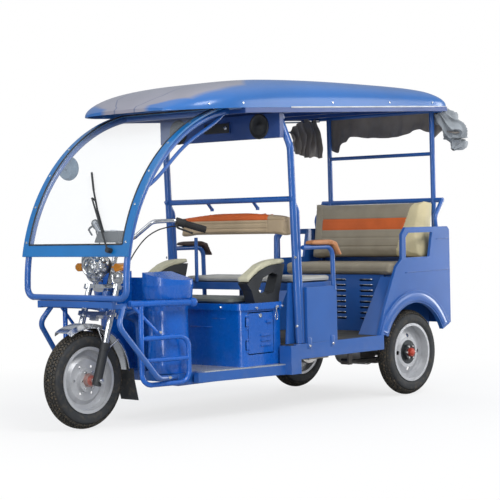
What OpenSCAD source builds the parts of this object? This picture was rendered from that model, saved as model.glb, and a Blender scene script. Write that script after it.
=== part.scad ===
// Electric passenger rickshaw: three wheels, open cab, two facing passenger benches, hard roof.
// Lengths are in millimetres. While modelling, x runs rearwards from the front axle, y to the
// right and z up from the ground; every node is then moved so that x = 0 is mid-length.

/* [Wheels] */
// Outside diameter of the tyres
tyre_d = 487; // [460:1:510]
// Section width of the tyres
tyre_w = 95; // [85:1:105]
// Diameter of the rim's barrel
rim_d = 314; // [300:1:320]
// Height of the rim's flanges above the barrel
rim_flange_h = 9; // [6:1:12]
// Width of the rim over its flanges
rim_w = 84; // [80:1:90]
// Distance between the front and rear axles
wheelbase = 2106; // [2040:1:2180]
// Distance between the rear tyres' middles
track = 835; // [810:1:850]
// Diameter of the front axle
front_axle_d = 15; // [12:1:20]
// Diameter of the rear half shafts
rear_shaft_d = 28; // [22:1:34]

/* [Steering] */
// Lean of the steering axis from the vertical, in degrees
rake = 18; // [16:0.5:20]
// Distance of the fork legs ahead of the steering axis
fork_offset = 35; // [30:1:40]
// Distance between the fork legs
fork_spread = 204; // [196:1:216]
// Diameter of the lower fork legs
slider_d = 46; // [40:1:50]
// Diameter of the upper fork tubes
fork_tube_d = 33; // [28:1:36]
// Diameter of the steering stem
stem_d = 27; // [24:1:30]
// Diameter of the handlebar
bar_d = 22; // [20:1:26]

/* [Body] */
// Width over the quarter panels
body_w = 984; // [970:1:1010]
// Thickness of the quarter panels and side panels
panel_t = 18; // [12:1:20]
// Height of the passenger floor
floor_z = 362; // [350:1:375]
// Height of the driver's floor
foot_z = 262; // [255:1:275]
// Thickness of the floor plates
plate_t = 6; // [4:1:10]
// Height of the quarter panels' top rail
quarter_top_z = 960; // [940:1:980]
// Radius of the rear wheel arches
arch_r = 285; // [275:1:295]
// Wall of the pressed boxes
box_t = 12; // [8:1:16]

/* [Pillars and roof] */
// Diameter of the pillars
pillar_d = 38; // [30:1:42]
// Diameter of the windscreen hoop's tube
hoop_d = 32; // [25:1:36]
// Distance between the hoop's uprights
hoop_w = 732; // [700:1:750]
// Radius of the hoop's sweep, seen from the side
hoop_r = 888; // [870:1:900]
// Wall of the roof shell
roof_t = 20; // [14:1:24]

/* [Seats] */
// Thickness of the bench cushions
cushion_t = 70; // [55:1:85]
// Thickness of the backrest pads
back_t = 62; // [50:1:75]

/* [Hidden] */
$fn = 48;
wheel_r = tyre_d / 2;
rim_r = rim_d / 2;
half_w = body_w / 2;
half_track = track / 2;
run_gap = 0.05;   // radial clearance of a shaft in its bearing
seat_gap = 0.3;   // clearance of a piece on its seat
rear_end = 2600;  // rearmost point, at the gathered rain curtain
mid_x = (rear_end - wheel_r) / 2;

// Steering: distances along the fork legs, up from the axle
slider_top = 190;
fork_top = 492;
clamp_low = 326;
clamp_high = 466;
clamp_t = 20;
head_d = 50;
stem_top = 735;
stem_end = stem_top - 12;
leg_y = fork_spread / 2;
lamp_x = 118;
lamp_z = 806;
lamp_neck_r = 44;
lamp_neck_x = lamp_x + 44;
lamp_arm_t = 8;
lamp_arm_y = lamp_neck_r + seat_gap;

// Windscreen hoop: centre of its sweep
hoop_y = hoop_w / 2;
hoop_cx = hoop_r - 38;
hoop_cz = 705;
hoop_low_z = 652;
hoop_bend = 48;
hoop_end_a = 79;
screen_t = 10;
screen_low_a = 9.5;
screen_band = 42;
screen_r = hoop_r + hoop_d / 2;

// Cabin stations
seat_x = 745;         // front of the driver's seat box
seat_back_x = 1035;   // rear of the driver's seat box
seat_box_w = 790;
seat_lid_z = 588;
pillar_x = 1085;      // middle pillars
pillar_y = 462;
pillar_in_y = 400;    // middle pillars at the roof
pillar_bend_z = 1400;
rail_z = 1126;
bench_x = 1128;
bench_end_x = 1440;
bench_z = 680;
side_x = 1116;
side_end_x = 1392;
side_top_z = 658;
arm_z = 868;
rear_seat_x = wheelbase - 86;
rear_deck_z = 690;
body_end = wheelbase + 350;
rear_pillar_x = body_end - 2 - pillar_d / 2;
rear_pillar_y = 392;
sill_h = 80;

// Roof: x, half width, height of the edge, height of the crown
roof_rows = [
    [318, 290, 1572, 1594],
    [345, 330, 1573, 1614],
    [420, 400, 1576, 1656],
    [520, 455, 1580, 1694],
    [640, 485, 1586, 1722],
    [800, 492, 1593, 1746],
    [1050, 492, 1603, 1772],
    [1500, 492, 1622, 1786],
    [2050, 492, 1645, 1786],
    [2300, 490, 1655, 1778],
    [2400, 484, 1659, 1762],
    [2465, 468, 1661, 1738],
    [2500, 445, 1663, 1706],
    [2512, 425, 1663, 1686]
];
roof_seg = 24;
roof_power = 3.2;
rail_s = 26;
function edge_z(x) = lookup(x, [for (r = roof_rows) [r[0], r[2]]]);

blue = "#2f62c4";
deep_blue = "#27469b";
screen_blue = "#1f86c8";
dark = "#26282b";
steel = "#c3c8ca";
vinyl = "#8d8672";

function unit(v) = v / norm(v);

// A straight round bar from p to q
module rod(p, q, d) {
    v = q - p;
    translate(p)
        rotate([0, acos(v[2] / norm(v)), atan2(v[1], v[0])])
            cylinder(d = d, h = norm(v));
}

// The quarter of a ring that turns a tube at corner p, between the neighbours a and b
module elbow(a, p, b, d, bend) {
    u = unit(a - p);
    w = unit(b - p);
    half = acos(u * w) / 2;
    c = p + unit(u + w) * bend / sin(half);
    x = unit(p + u * bend / tan(half) - c);
    n = cross(x, -u);
    multmatrix([
        [x[0], -u[0], n[0], c[0]], [x[1], -u[1], n[1], c[1]], [x[2], -u[2], n[2], c[2]], [0, 0, 0, 1]
    ])
        rotate_extrude(angle = 180 - 2 * half) translate([bend, 0]) circle(d = d);
}

// Length that a bend takes off each side of corner i
function inset(pts, i, bend) = i == 0 || i == len(pts) - 1 ? 0 :
    bend / tan(acos(unit(pts[i - 1] - pts[i]) * unit(pts[i + 1] - pts[i])) / 2);

// A round tube along points, its corners bent to one radius; the straights reach a little into the bends
module pipe(pts, d, bend) {
    reach = 3;
    for (i = [0 : len(pts) - 2]) {
        way = unit(pts[i + 1] - pts[i]);
        rod(
            pts[i] + way * max(0, inset(pts, i, bend) - reach),
            pts[i + 1] - way * max(0, inset(pts, i + 1, bend) - reach), d - 1
        );
    }
    for (i = [1 : 1 : len(pts) - 2]) elbow(pts[i - 1], pts[i], pts[i + 1], d, bend);
}

module both_sides() for (s = [0, 1]) mirror([0, s, 0]) children();

// Places a block by its lowest and highest corners
module block(low, high) translate(low) cube(high - low);

// A rectangle with its lowest corner at the origin and round corners
module round_rect(w, h, r) {
    translate([r, 0]) square([w - 2 * r, h]);
    translate([0, r]) square([w, h - 2 * r]);
    for (x = [r, w - r], y = [r, h - r]) translate([x, y]) circle(r);
}

// A soft block with all its edges rounded, its upright edges by r_plan
module pad(low, high, r, r_plan) {
    size = high - low;
    translate(low) intersection() {
        linear_extrude(size[2]) round_rect(size[0], size[1], r_plan);
        translate([0, size[1], 0]) rotate([90, 0, 0]) linear_extrude(size[1]) round_rect(size[0], size[2], r);
        rotate([90, 0, 90]) linear_extrude(size[0]) round_rect(size[1], size[2], r);
    }
}

// Side view outline, in x and z, made into a plate between two values of y
module side_plate(y0, y1) translate([0, y1, 0]) rotate([90, 0, 0]) linear_extrude(y1 - y0) children();

module vehicle() translate([-mid_x, 0, 0]) children();

// Axes of the fork legs: z up the legs from the axle, y to the right
module fork_axes() translate([0, 0, wheel_r]) rotate([0, rake, 0]) children();

module wheel_axes(x, y) translate([x, y, wheel_r]) rotate([90, 0, 0]) children();

// Wheels
module tyre(x, y) color(dark) wheel_axes(x, y)
    rotate_extrude($fn = 96) intersection() {
        translate([wheel_r - tyre_w / 2, 0]) circle(d = tyre_w);
        translate([rim_r + seat_gap, -tyre_w]) square([tyre_d, 2 * tyre_w]);
    }

// Section of a pressed wheel: barrel, flanges and a dished disc
module rim_section(disc_r, dish) {
    barrel_t = 6;
    flange_t = 4;
    disc_t = 5;
    translate([rim_r - barrel_t, -rim_w / 2]) square([barrel_t, rim_w]);
    for (s = [0, 1]) mirror([0, s])
        translate([rim_r - barrel_t, rim_w / 2 - flange_t]) square([barrel_t + rim_flange_h, flange_t]);
    polygon([
        [disc_r, dish], [disc_r + 52, dish], [rim_r - 34, dish - 16], [rim_r - barrel_t, dish - 16],
        [rim_r - barrel_t, dish - 16 + disc_t], [rim_r - 34, dish - 16 + disc_t],
        [disc_r + 52, dish + disc_t], [disc_r, dish + disc_t]
    ]);
}

module rim(x, y, disc_r, dish, holes, hole_pcd, hole_d) wheel_axes(x, y) difference() {
    rotate_extrude($fn = 96) rim_section(disc_r, dish);
    for (i = [0 : holes - 1]) rotate(i * 360 / holes)
        translate([hole_pcd / 2, 0, -rim_w]) cylinder(d = hole_d, h = 2 * rim_w);
}

front_hub_r = 58;
front_hub_w = 112;
module front_rim() color(steel) difference() {
    union() {
        rim(0, 0, front_hub_r - 8, 12, 6, 150, 15);
        wheel_axes(0, 0) {
            cylinder(r = front_hub_r, h = 76, center = true);
            cylinder(r = 30, h = front_hub_w, center = true);
        }
    }
    wheel_axes(0, 0) cylinder(d = front_axle_d + 2 * run_gap, h = 2 * front_hub_w, center = true);
}

// Outer faces point to +z of the wheel's axes on the left wheel
rear_hub_r = 44;
rear_cap_h = 30;
module rear_rim(side) color(steel) mirror([0, side > 0 ? 1 : 0, 0]) {
    difference() {
        union() {
            rim(wheelbase, -half_track, rear_hub_r - 6, 6, 4, 190, 24);
            wheel_axes(wheelbase, -half_track) {
                translate([0, 0, -34]) cylinder(r = rear_hub_r, h = 62);
                for (i = [0 : 5]) rotate(i * 60) translate([36, 0, 0]) cylinder(d = 26, h = 28);
                cylinder(d = 46, h = 28 + rear_cap_h / 2);
            }
        }
        wheel_axes(wheelbase, -half_track)
            translate([0, 0, -40]) cylinder(d = rear_shaft_d + 2 * run_gap, h = 60);
    }
}

// Front fork, turning with the handlebar
module front_axle() color(steel) wheel_axes(0, 0) {
    cylinder(d = front_axle_d, h = fork_spread + slider_d + 24, center = true);
    for (s = [-1, 1]) translate([0, 0, s * (leg_y + slider_d / 2 + 5)]) cylinder(d = 26, h = 10, center = true, $fn = 6);
    for (s = [-1, 1]) translate([0, 0, s * (front_hub_w / 2 + leg_y - slider_d / 2) / 2])
        cylinder(d = 24, h = leg_y - slider_d / 2 - front_hub_w / 2 - 2 * seat_gap, center = true);
}

module fork_sliders() color(dark) difference() {
    fork_axes() both_sides() translate([0, leg_y, 0]) {
        translate([0, 0, -24]) cylinder(d = slider_d, h = slider_top + 24);
        translate([0, 0, slider_top - 34]) cylinder(d = slider_d + 8, h = 34);
    }
    wheel_axes(0, 0) cylinder(d = front_axle_d + 0.1, h = 2 * fork_spread, center = true);
}

module clamp_plate(z) translate([0, 0, z]) linear_extrude(clamp_t) {
    translate([-20, -leg_y]) square([fork_offset + 40, fork_spread]);
    for (y = [-leg_y, leg_y]) translate([0, y]) circle(d = fork_tube_d + 26);
    translate([fork_offset, 0]) circle(d = stem_d + 36);
}

module fork_tubes() color(steel) fork_axes() {
    both_sides() translate([0, leg_y, slider_top]) cylinder(d = fork_tube_d, h = fork_top - slider_top);
    clamp_plate(clamp_low);
    clamp_plate(clamp_high);
    translate([fork_offset, 0, clamp_low]) cylinder(d = stem_d, h = stem_end - clamp_low);
    // Bracket that carries the fender
    translate([-26, -24, clamp_low - 26]) cube([20, 48, 28]);
    // Bracket that carries the headlamp
    both_sides() translate([-22, lamp_arm_y, clamp_high]) cube([24, lamp_arm_t, 126]);
}

fender_r = 276;
fender_w = 118;
fender_t = 4;
fender_front_a = 30;
fender_rear_a = 84;
module front_fender() color(steel) {
    wheel_axes(0, 0) rotate(90 - fender_rear_a) rotate_extrude(angle = fender_rear_a + fender_front_a, $fn = 96) {
        half = fender_w / 2;
        flat = half - 14;
        polygon([
            [fender_r, -flat], [fender_r - 20, -half], [fender_r - 16, -half], [fender_r + fender_t, -flat],
            [fender_r + fender_t, flat], [fender_r - 16, half], [fender_r - 20, half], [fender_r, flat]
        ]);
    }
    // Stays from the lips to the sliders: angle on the fender, drop below the sliders' tops
    both_sides() for (stay = [[10, 22], [43, 64]]) {
        lip_r = fender_r - 18;
        x = lip_r * sin(stay[0]);
        z = wheel_r + lip_r * cos(stay[0]);
        h = slider_top - stay[1];
        rod([x, fender_w / 2 + seat_gap, z], [x, fender_w / 2 + 10, z], 12);
        rod([x, fender_w / 2 + 6, z], [h * tan(rake) + 20, leg_y - slider_d / 2 - 5, wheel_r + h], 8);
    }
}

flap_t = 6;
flap_low_z = 116;
module mud_flap() color(dark) side_plate(-fender_w / 2 - 4, fender_w / 2 + 4) {
    x = fender_r + fender_t - 1;
    polygon([
        [x, wheel_r + 36], [x + flap_t, wheel_r + 36], [x + flap_t + 4, wheel_r - 20],
        [x + flap_t + 30, flap_low_z], [x + 30, flap_low_z], [x + 4, wheel_r - 20]
    ]);
}

// Handlebar, in the vehicle's axes
bar_mid = [fork_offset * cos(rake) + (stem_top - 12) * sin(rake), 0, wheel_r - fork_offset * sin(rake) + (stem_top - 12) * cos(rake)];
bar_points = [
    [0, 0, 0], [0, 112, 0], [36, 215, 80], [106, 292, 84], [232, 386, 36]
];
grip_l = 104;
module handlebar() color(steel) {
    half = [for (p = bar_points) bar_mid + [0, 0, 20] + p];
    last = len(half) - 1;
    pipe(concat([for (i = [last : -1 : 1]) [half[i][0], -half[i][1], half[i][2]]], [for (i = [1 : last]) half[i]]), bar_d, 45);
    fork_axes() translate([fork_offset, 0, stem_end + seat_gap]) cylinder(d = stem_d + 18, h = 46);
}

module grips() color(dark) both_sides() {
    e = bar_mid + [0, 0, 20] + bar_points[4];
    b = bar_mid + [0, 0, 20] + bar_points[3];
    way = unit(e - b);
    difference() {
        union() {
            rod(e - way * grip_l, e + way * 6, bar_d + 12);
            rod(e - way * (grip_l + 10), e - way * grip_l, bar_d + 24);
            rod(e - way * (grip_l + 48), e - way * (grip_l + 10), bar_d + 20);
            // Brake lever
            pipe([
                e - way * (grip_l + 30) + [-6, 0, -6], e - way * (grip_l + 10) + [-62, 0, -16],
                e - way * 20 + [-58, 0, -24]
            ], 11, 18);
        }
        rod(b, e + way, bar_d + 0.2);
    }
}

module headlamp() color("#dfe5e8") {
    // Wide above and narrow below, on a round neck
    hull() {
        for (y = [-20, 20]) translate([lamp_x - 48, y, lamp_z + 24]) rotate([0, 90, 0]) cylinder(r = 60, h = 44, $fn = 32);
        translate([lamp_x - 44, 0, lamp_z - 44]) rotate([0, 90, 0]) cylinder(r = 42, h = 40, $fn = 32);
        translate([lamp_x - 68, 0, lamp_z]) rotate([0, 90, 0]) cylinder(r = 44, h = 20, $fn = 32);
        translate([lamp_neck_x - 10, 0, lamp_z]) rotate([0, 90, 0]) cylinder(r = lamp_neck_r - 6, h = 10, $fn = 32);
    }
    translate([lamp_neck_x, 0, lamp_z]) rotate([0, 90, 0]) cylinder(r = lamp_neck_r, h = 20);
}

// Indicators on stalks beside the headlamp
indicator_y = 140;
module indicators() color("orange") both_sides() {
    rod([lamp_x + 52, lamp_arm_y + lamp_arm_t + seat_gap, lamp_z - 8], [lamp_x + 52, indicator_y, lamp_z - 8], 12);
    translate([lamp_x + 22, indicator_y, lamp_z - 8]) hull() {
        rotate([0, 90, 0]) cylinder(r = 21, h = 64, center = true, $fn = 24);
        translate([0, 18, 0]) rotate([0, 90, 0]) cylinder(r = 15, h = 50, center = true, $fn = 24);
    }
}

// Instrument pod against the handlebar's clamp
pod_rear_x = bar_mid[0] - (stem_d + 18) / 2 * cos(rake) - 0.5;
module instrument_pod() color("#8ea2b4") hull() {
    translate([pod_rear_x - 60, -88, lamp_z + 114]) cube([60, 176, 8]);
    translate([pod_rear_x - 48, -72, lamp_z + 166]) cube([40, 144, 6]);
}

// Frame
rail_y = 285;
drop_x = 1050;
// Lower outer rails: x and distance of their middle from the centre line, at both ends
outer_rail = [[452, 340], [drop_x, 440]];
outer_rail_w = 34;
outer_rail_low = 206;
function outer_y(x) = lookup(x, outer_rail);
rail_w = 40;
rail_h = 60;
front_rail_x = 360;
rear_rail_z = floor_z - plate_t - rail_h;
front_rail_z = foot_z - plate_t - rail_h;
tow_x = body_end + 10;
tow_z = rear_rail_z + 30;
tow_w = 50;
tow_t = 14;
tow_d = 22;
beam_x = 34;
beam_z = 610;
beam_front_x = hoop_cx - hoop_r - 15;
beam_y = 262;
brace_d = 28;
module chassis_frame() color(deep_blue) {
    both_sides() {
        block([front_rail_x, rail_y - rail_w / 2, front_rail_z], [drop_x + 60, rail_y + rail_w / 2, front_rail_z + rail_h]);
        block([drop_x, rail_y - rail_w / 2, front_rail_z], [drop_x + 60, rail_y + rail_w / 2, rear_rail_z + rail_h]);
        block([drop_x, rail_y - rail_w / 2, rear_rail_z], [body_end - 40, rail_y + rail_w / 2, rear_rail_z + rail_h]);
        // Outriggers to the sills
        for (x = [470, 700, 1000]) block([x, rail_y, front_rail_z + 10], [x + 30, outer_y(x), front_rail_z + rail_h]);
        for (x = [1160, 1420, 1700]) block([x, rail_y, rear_rail_z + 10], [x + 30, half_w - 5, rear_rail_z + rail_h]);
        // Lower outer rail beside the driver's floor
        translate([0, 0, outer_rail_low]) linear_extrude(foot_z - plate_t - outer_rail_low) polygon(concat(
            [for (p = outer_rail) p - [0, outer_rail_w / 2]],
            [for (i = [1, 0]) outer_rail[i] + [0, outer_rail_w / 2]]
        ));
        // Step up to the sill, and the sill beside the passenger floor
        block([drop_x - 40, outer_y(drop_x) - 30, outer_rail_low], [drop_x + 40, half_w, floor_z - plate_t]);
        block([drop_x, half_w - panel_t, floor_z - sill_h], [wheelbase - arch_r - 20, half_w, floor_z]);
    }
    for (x = [front_rail_x + 40, 720, 1010]) block([x, -rail_y, front_rail_z + 10], [x + 40, rail_y, front_rail_z + rail_h]);
    for (x = [1240, 1640, body_end - 80]) block([x, -rail_y, rear_rail_z + 10], [x + 40, rail_y, rear_rail_z + rail_h]);
    // Steering head
    fork_axes() translate([fork_offset, 0, clamp_low + clamp_t + 2]) difference() {
        cylinder(d = head_d, h = clamp_high - clamp_low - clamp_t - 4);
        translate([0, 0, -1]) cylinder(d = stem_d + 2 * seat_gap, h = clamp_high - clamp_low);
    }
    // Down tube behind the wheel
    difference() {
        pipe([[150, 0, 598], [388, 0, 520], [404, 0, front_rail_z + 20]], 44, 60);
        fork_axes() translate([fork_offset, 0, 0]) cylinder(d = head_d - 4, h = 600);
    }
    // Side members round the wheel, down to the rails
    both_sides() pipe([
        [beam_x, beam_y, beam_z], [beam_x - 60, beam_y + 30, 520],
        [190, 338, front_rail_z + 54], [front_rail_x + 12, rail_y, front_rail_z + 44]
    ], brace_d, 50);
    // Tie from the steering head out to the side members
    both_sides() pipe([[300, 0, 549], [236, 196, 590], [beam_x - 4, beam_y - 12, beam_z - 4]], brace_d - 4, 60);
    // Beam that carries the hoop
    block([beam_front_x, -beam_y - 12, beam_z - 4], [beam_front_x + 30, beam_y + 12, hoop_low_z - hoop_d / 2]);
    both_sides() block([beam_front_x, beam_y - 12, beam_z - 10], [beam_x + 14, beam_y + 12, beam_z + 14]);
}

// Towing eye, welded to the back of the rear crossmember
module tow_eye() color(deep_blue) difference() {
    union() {
        block([body_end - 40, -tow_w / 2, tow_z - tow_t / 2], [tow_x, tow_w / 2, tow_z + tow_t / 2]);
        translate([tow_x, 0, tow_z - tow_t / 2]) cylinder(d = tow_w, h = tow_t);
    }
    translate([tow_x, 0, tow_z - tow_t]) cylinder(d = tow_d, h = 2 * tow_t);
}

// Side guards: each in an upright plane that swings out from the beam's end
guard_swing = 10.4;
guard_post_u = 102;
guard_end_u = 384;
guard_ball_u = 413;
guard_bar_z = 616;
module guard_axes() translate([beam_x, beam_y, 0]) rotate(guard_swing) children();
function guard_y(x) = beam_y + (x - beam_x) * tan(guard_swing);
module side_guards() color(blue) both_sides() {
    guard_axes() {
        // Top bar with its round knob: half length and diameter of its steps
        rod([36, 0, guard_bar_z + 4], [guard_ball_u, 0, guard_bar_z - 4], 32);
        for (knob = [[18, 38], [13, 44], [7, 48]])
            rod([guard_ball_u - knob[0], 0, guard_bar_z - 4], [guard_ball_u + knob[0], 0, guard_bar_z - 4], knob[1]);
        // Post and lower loop
        pipe([
            [guard_post_u, 0, guard_bar_z], [guard_post_u, 0, 216], [guard_end_u, 0, 216],
            [guard_end_u, 0, 446], [guard_post_u + 26, 0, 446]
        ], 26, 56);
        rod([guard_post_u, 0, 446], [guard_post_u + 30, 0, 446], 21);
        rod([guard_post_u, 0, 336], [guard_end_u, 0, 336], 22);
        // Flat brace
        rod([54, 0, guard_bar_z - 4], [200, 0, 470], 16);
    }
    // Feet on the cowl
    foot_d = 18;
    foot_x = pod_x - 85;
    for (z = [guard_bar_z, 449]) {
        reach = pod_x - foot_x - foot_d / 2;
        pod_side = sqrt(pow(max(pod_r(z - foot_d / 2), pod_r(z + foot_d / 2)), 2) - reach * reach);
        rod([foot_x, pod_y + pod_side + seat_gap, z], [foot_x, guard_y(foot_x), z], foot_d);
    }
}

// Cowl: two rounded knee pods and the wall between them, behind the wheel
pod_x = 426;
pod_y = 164;
pod_end_x = pod_x + 56;
cowl_in_y = 146;
cowl_wall_x = 480;
cowl_low_z = foot_z - plate_t;
cowl_top_z = 762;
cowl_wall_top_z = cowl_top_z - 30;
cowl_slope = 14;
// Height and radius of the pods' outside
pod_rows = [
    [cowl_low_z, 118], [300, 122], [400, 116], [470, 112], [570, 112], [606, 120], [634, 142], [700, 150], [830, 148]
];
cowl_t = 8;
function pod_r(z) = lookup(z, pod_rows);
function swap_rows(rows, less) = [for (r = rows) [r[1] - less, r[0]]];
// Room under the pods' sloping tops, lowered by drop
module under_slope(drop) translate([pod_x, pod_y, cowl_top_z - drop]) rotate([-cowl_slope, 0, 0])
    translate([-500, -500, -1000]) cube(1000);
module pod() intersection() {
    low = pod_rows[0][0] - 1;
    high = 900;
    difference() {
        translate([pod_x, pod_y, 0]) rotate_extrude($fn = 96)
            polygon(concat([[0, low + 1]], swap_rows(pod_rows, 0), [[0, pod_rows[len(pod_rows) - 1][0]]]));
        difference() {
            translate([pod_x, pod_y, 0]) rotate_extrude($fn = 96)
                polygon(concat([[0, low]], [[pod_rows[0][1] - cowl_t, low]], swap_rows(pod_rows, cowl_t), [[0, high]]));
            // The top and the inner cheek stay closed
            difference() {
                block([0, cowl_in_y, low], [pod_end_x + 100, 600, high]);
                intersection() {
                    block([0, cowl_in_y + cowl_t, low - 1], [pod_end_x + 200, 700, high + 1]);
                    under_slope(cowl_t);
                }
            }
        }
    }
    block([0, cowl_in_y, low], [pod_end_x, 600, high]);
    under_slope(0);
}
module front_cowl() color(blue) {
    both_sides() pod();
    both_sides() block([pod_end_x - 1, cowl_in_y, cowl_low_z], [cowl_wall_x + cowl_t, cowl_in_y + cowl_t, cowl_wall_top_z]);
    block([cowl_wall_x, -cowl_in_y - cowl_t, cowl_low_z], [cowl_wall_x + cowl_t, cowl_in_y + cowl_t, cowl_wall_top_z]);
}

// Windscreen
function hoop_at(a, r) = [hoop_cx - r * cos(a), hoop_cz + r * sin(a)];
module hoop() color(blue) {
    both_sides() translate([hoop_cx, hoop_y, hoop_cz]) rotate([90, 0, 0])
        rotate_extrude(angle = hoop_end_a, start = 180 - hoop_end_a, $fn = 96) translate([hoop_r, 0]) circle(d = hoop_d);
    pipe([
        [hoop_cx - hoop_r, -hoop_y, hoop_cz], [hoop_cx - hoop_r, -hoop_y, hoop_low_z],
        [hoop_cx - hoop_r, hoop_y, hoop_low_z], [hoop_cx - hoop_r, hoop_y, hoop_cz]
    ], hoop_d, hoop_bend);
    top = hoop_at(hoop_end_a, hoop_r);
    rod([top[0], -hoop_y - hoop_d / 2, top[1]], [top[0], hoop_y + hoop_d / 2, top[1]], hoop_d);
}

// Ring sector in the side view, between two angles up from the hoop's centre line
module sweep_sector(a0, a1, r0, r1) translate([hoop_cx, hoop_cz]) difference() {
    intersection() {
        circle(r1, $fn = 96);
        far = 2 * r1;
        polygon([[0, 0], [-far * cos(a0), far * sin(a0)], [-far * cos((a0 + a1) / 2), far * sin((a0 + a1) / 2)], [-far * cos(a1), far * sin(a1)]]);
    }
    circle(r0, $fn = 96);
}

screen_out_y = hoop_y + 22;
screen_in_y = screen_out_y - screen_band;
screen_low_band = 3.6;
screen_top_band = 2.4;
module windscreen_frame() color(screen_blue) difference() {
    side_plate(-screen_out_y, screen_out_y)
        sweep_sector(screen_low_a, hoop_end_a, screen_r + seat_gap, screen_r + seat_gap + screen_t);
    side_plate(-screen_in_y, screen_in_y)
        sweep_sector(screen_low_a + screen_low_band, hoop_end_a - screen_top_band, screen_r - 5, screen_r + 40);
}

module windscreen() color("#dfeaf0", 0.35) side_plate(-screen_in_y + seat_gap, screen_in_y - seat_gap)
    sweep_sector(
        screen_low_a + screen_low_band + 0.02, hoop_end_a - screen_top_band - 0.02,
        screen_r + 3, screen_r + 8
    );

// Point just outside the screen, at an angle and a distance across
function on_screen(a, y, off) = let (p = hoop_at(a, screen_r + screen_t + off)) [p[0], y, p[1]];
// Blade in short lengths along the glass: angle and distance from the centre line
blade = [[17, -206], [24, -124], [31, -42], [38, 40]];
module wiper() color(dark) {
    pivot = on_screen(11.3, -272, 0.3);
    way = unit(on_screen(11.3, -272, 10) - pivot);
    rod(pivot, pivot + way * 28, 26);
    for (i = [0 : 2]) {
        a = on_screen(blade[i][0], blade[i][1], 9);
        b = on_screen(blade[i + 1][0], blade[i + 1][1], 9);
        lap = i == 1 ? 3 : -1;
        rod(a - unit(b - a) * lap, b + unit(b - a) * lap, i == 1 ? 9.6 : 11);
    }
    joint = on_screen(27.5, -83, 34);
    rod(pivot + way * 24, joint, 9);
    rod(joint, on_screen(27.5, -83, 9), 10);
}

mirror_a = 41;
module side_mirror() color("#7d97a8") {
    p = hoop_at(mirror_a, hoop_r);
    head = [p[0] + 118, hoop_y + 52, p[1] + 23];
    pipe([[p[0], hoop_y + hoop_d / 2 + seat_gap, p[1]], [p[0] + 4, hoop_y + 40, p[1] + 2], head], 10, 12);
    translate(head) hull() {
        rotate([0, 90, 12]) cylinder(d = 128, h = 8, $fn = 32);
        translate([-22, 0, -12]) rotate([0, 90, 12]) cylinder(d = 84, h = 6, $fn = 32);
    }
}

// Floors
module floor_plates() color("#4a4a44") difference() {
    // Passenger floor, notched for the wheel housings
    block([drop_x, -half_w + panel_t, floor_z - plate_t], [body_end - 24, half_w - panel_t, floor_z]);
    both_sides() block([wheelbase - arch_r - 40, house_y + box_t, 0], [body_end, half_w, 1000]);
}

module driver_floor() color("#c9ced0") translate([0, 0, foot_z - plate_t]) linear_extrude(plate_t) {
    x0 = cowl_wall_x + cowl_t + 2;
    x1 = drop_x - 40 - seat_gap;
    edge = outer_rail_w / 2;
    polygon([
        [x0, outer_y(x0) + edge], [x1, outer_y(x1) + edge], [x1, -outer_y(x1) - edge], [x0, -outer_y(x0) - edge]
    ]);
}

// Driver's seat
box_y = seat_box_w / 2;
door_x0 = seat_x + 40;
door_x1 = seat_back_x - 50;
door_z0 = foot_z + 60;
door_z1 = seat_lid_z - 46;
door_t = 10;
door_gap = 5;
hinge_d = 14;
hinge_x = door_x0 - hinge_d / 2;
hinge_z = [door_z0 + 30, door_z1 - 70];
hinge_l = 40;
hinge_pin_d = 7;
box_corner_r = 36;
lid_lip = 14;
// A layer of the seat box between two heights, its front corners round, grown on three sides and at the rear
module box_layer(z0, z1, grow, rear = 0) {
    r = box_corner_r + grow;
    x0 = seat_x - grow;
    y0 = box_y + grow;
    translate([0, 0, z0]) linear_extrude(z1 - z0) {
        translate([x0 + r, -y0]) square([seat_back_x + rear - x0 - r, 2 * y0]);
        translate([x0, -y0 + r]) square([2 * r, 2 * y0 - 2 * r]);
        for (s = [-1, 1]) translate([x0 + r, s * (y0 - r)]) circle(r);
    }
}
module seat_box() color(blue) {
    box_shell();
    // Hinge knuckles and pins
    for (z = hinge_z) translate([hinge_x, -box_y, 0]) {
        for (k = [z - door_gap - 12, z + hinge_l + door_gap]) translate([0, 0, k]) cylinder(d = hinge_d, h = 12);
        translate([0, 0, z - door_gap - 12]) cylinder(d = hinge_pin_d, h = hinge_l + 2 * door_gap + 24);
    }
}

module box_shell() difference() {
    union() {
        difference() {
            box_layer(foot_z, seat_lid_z - 14, 0);
            box_layer(foot_z - 1, seat_lid_z, -box_t, -box_t);
            block([door_x0, -box_y - 1, door_z0], [door_x1, -box_y + box_t + 1, door_z1]);
        }
        // Lid with its lip
        box_layer(seat_lid_z - 14, seat_lid_z, lid_lip);
        difference() {
            box_layer(seat_lid_z - 34, seat_lid_z - 13, lid_lip);
            box_layer(seat_lid_z - 40, seat_lid_z - 14, lid_lip - 6, 1);
        }
    }
    // Room for the hinge barrels
    for (z = hinge_z) translate([hinge_x, -box_y, z - door_gap]) cylinder(d = hinge_d + 2 * door_gap, h = hinge_l + 2 * door_gap);
}

module seat_box_door() color(blue) {
    block([door_x0 + door_gap, -box_y, door_z0 + door_gap], [door_x1 - door_gap, -box_y + door_t, door_z1 - door_gap]);
    for (z = hinge_z) difference() {
        union() {
            translate([hinge_x, -box_y, z]) cylinder(d = hinge_d, h = hinge_l);
            block([hinge_x, -box_y, z], [door_x0 + door_gap + 4, -box_y + 4, z + hinge_l]);
        }
        translate([hinge_x, -box_y, z - 1]) cylinder(d = hinge_pin_d + 2 * run_gap, h = hinge_l + 2);
    }
    // Louvres and pull
    for (i = [0 : 2]) block([door_x0 + 96, -box_y - 5, door_z0 + 40 + i * 26], [door_x1 - 30, -box_y, door_z0 + 50 + i * 26]);
    block([door_x1 - 60, -box_y - 9, door_z1 - 60], [door_x1 - 24, -box_y, door_z1 - 44]);
}

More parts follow.
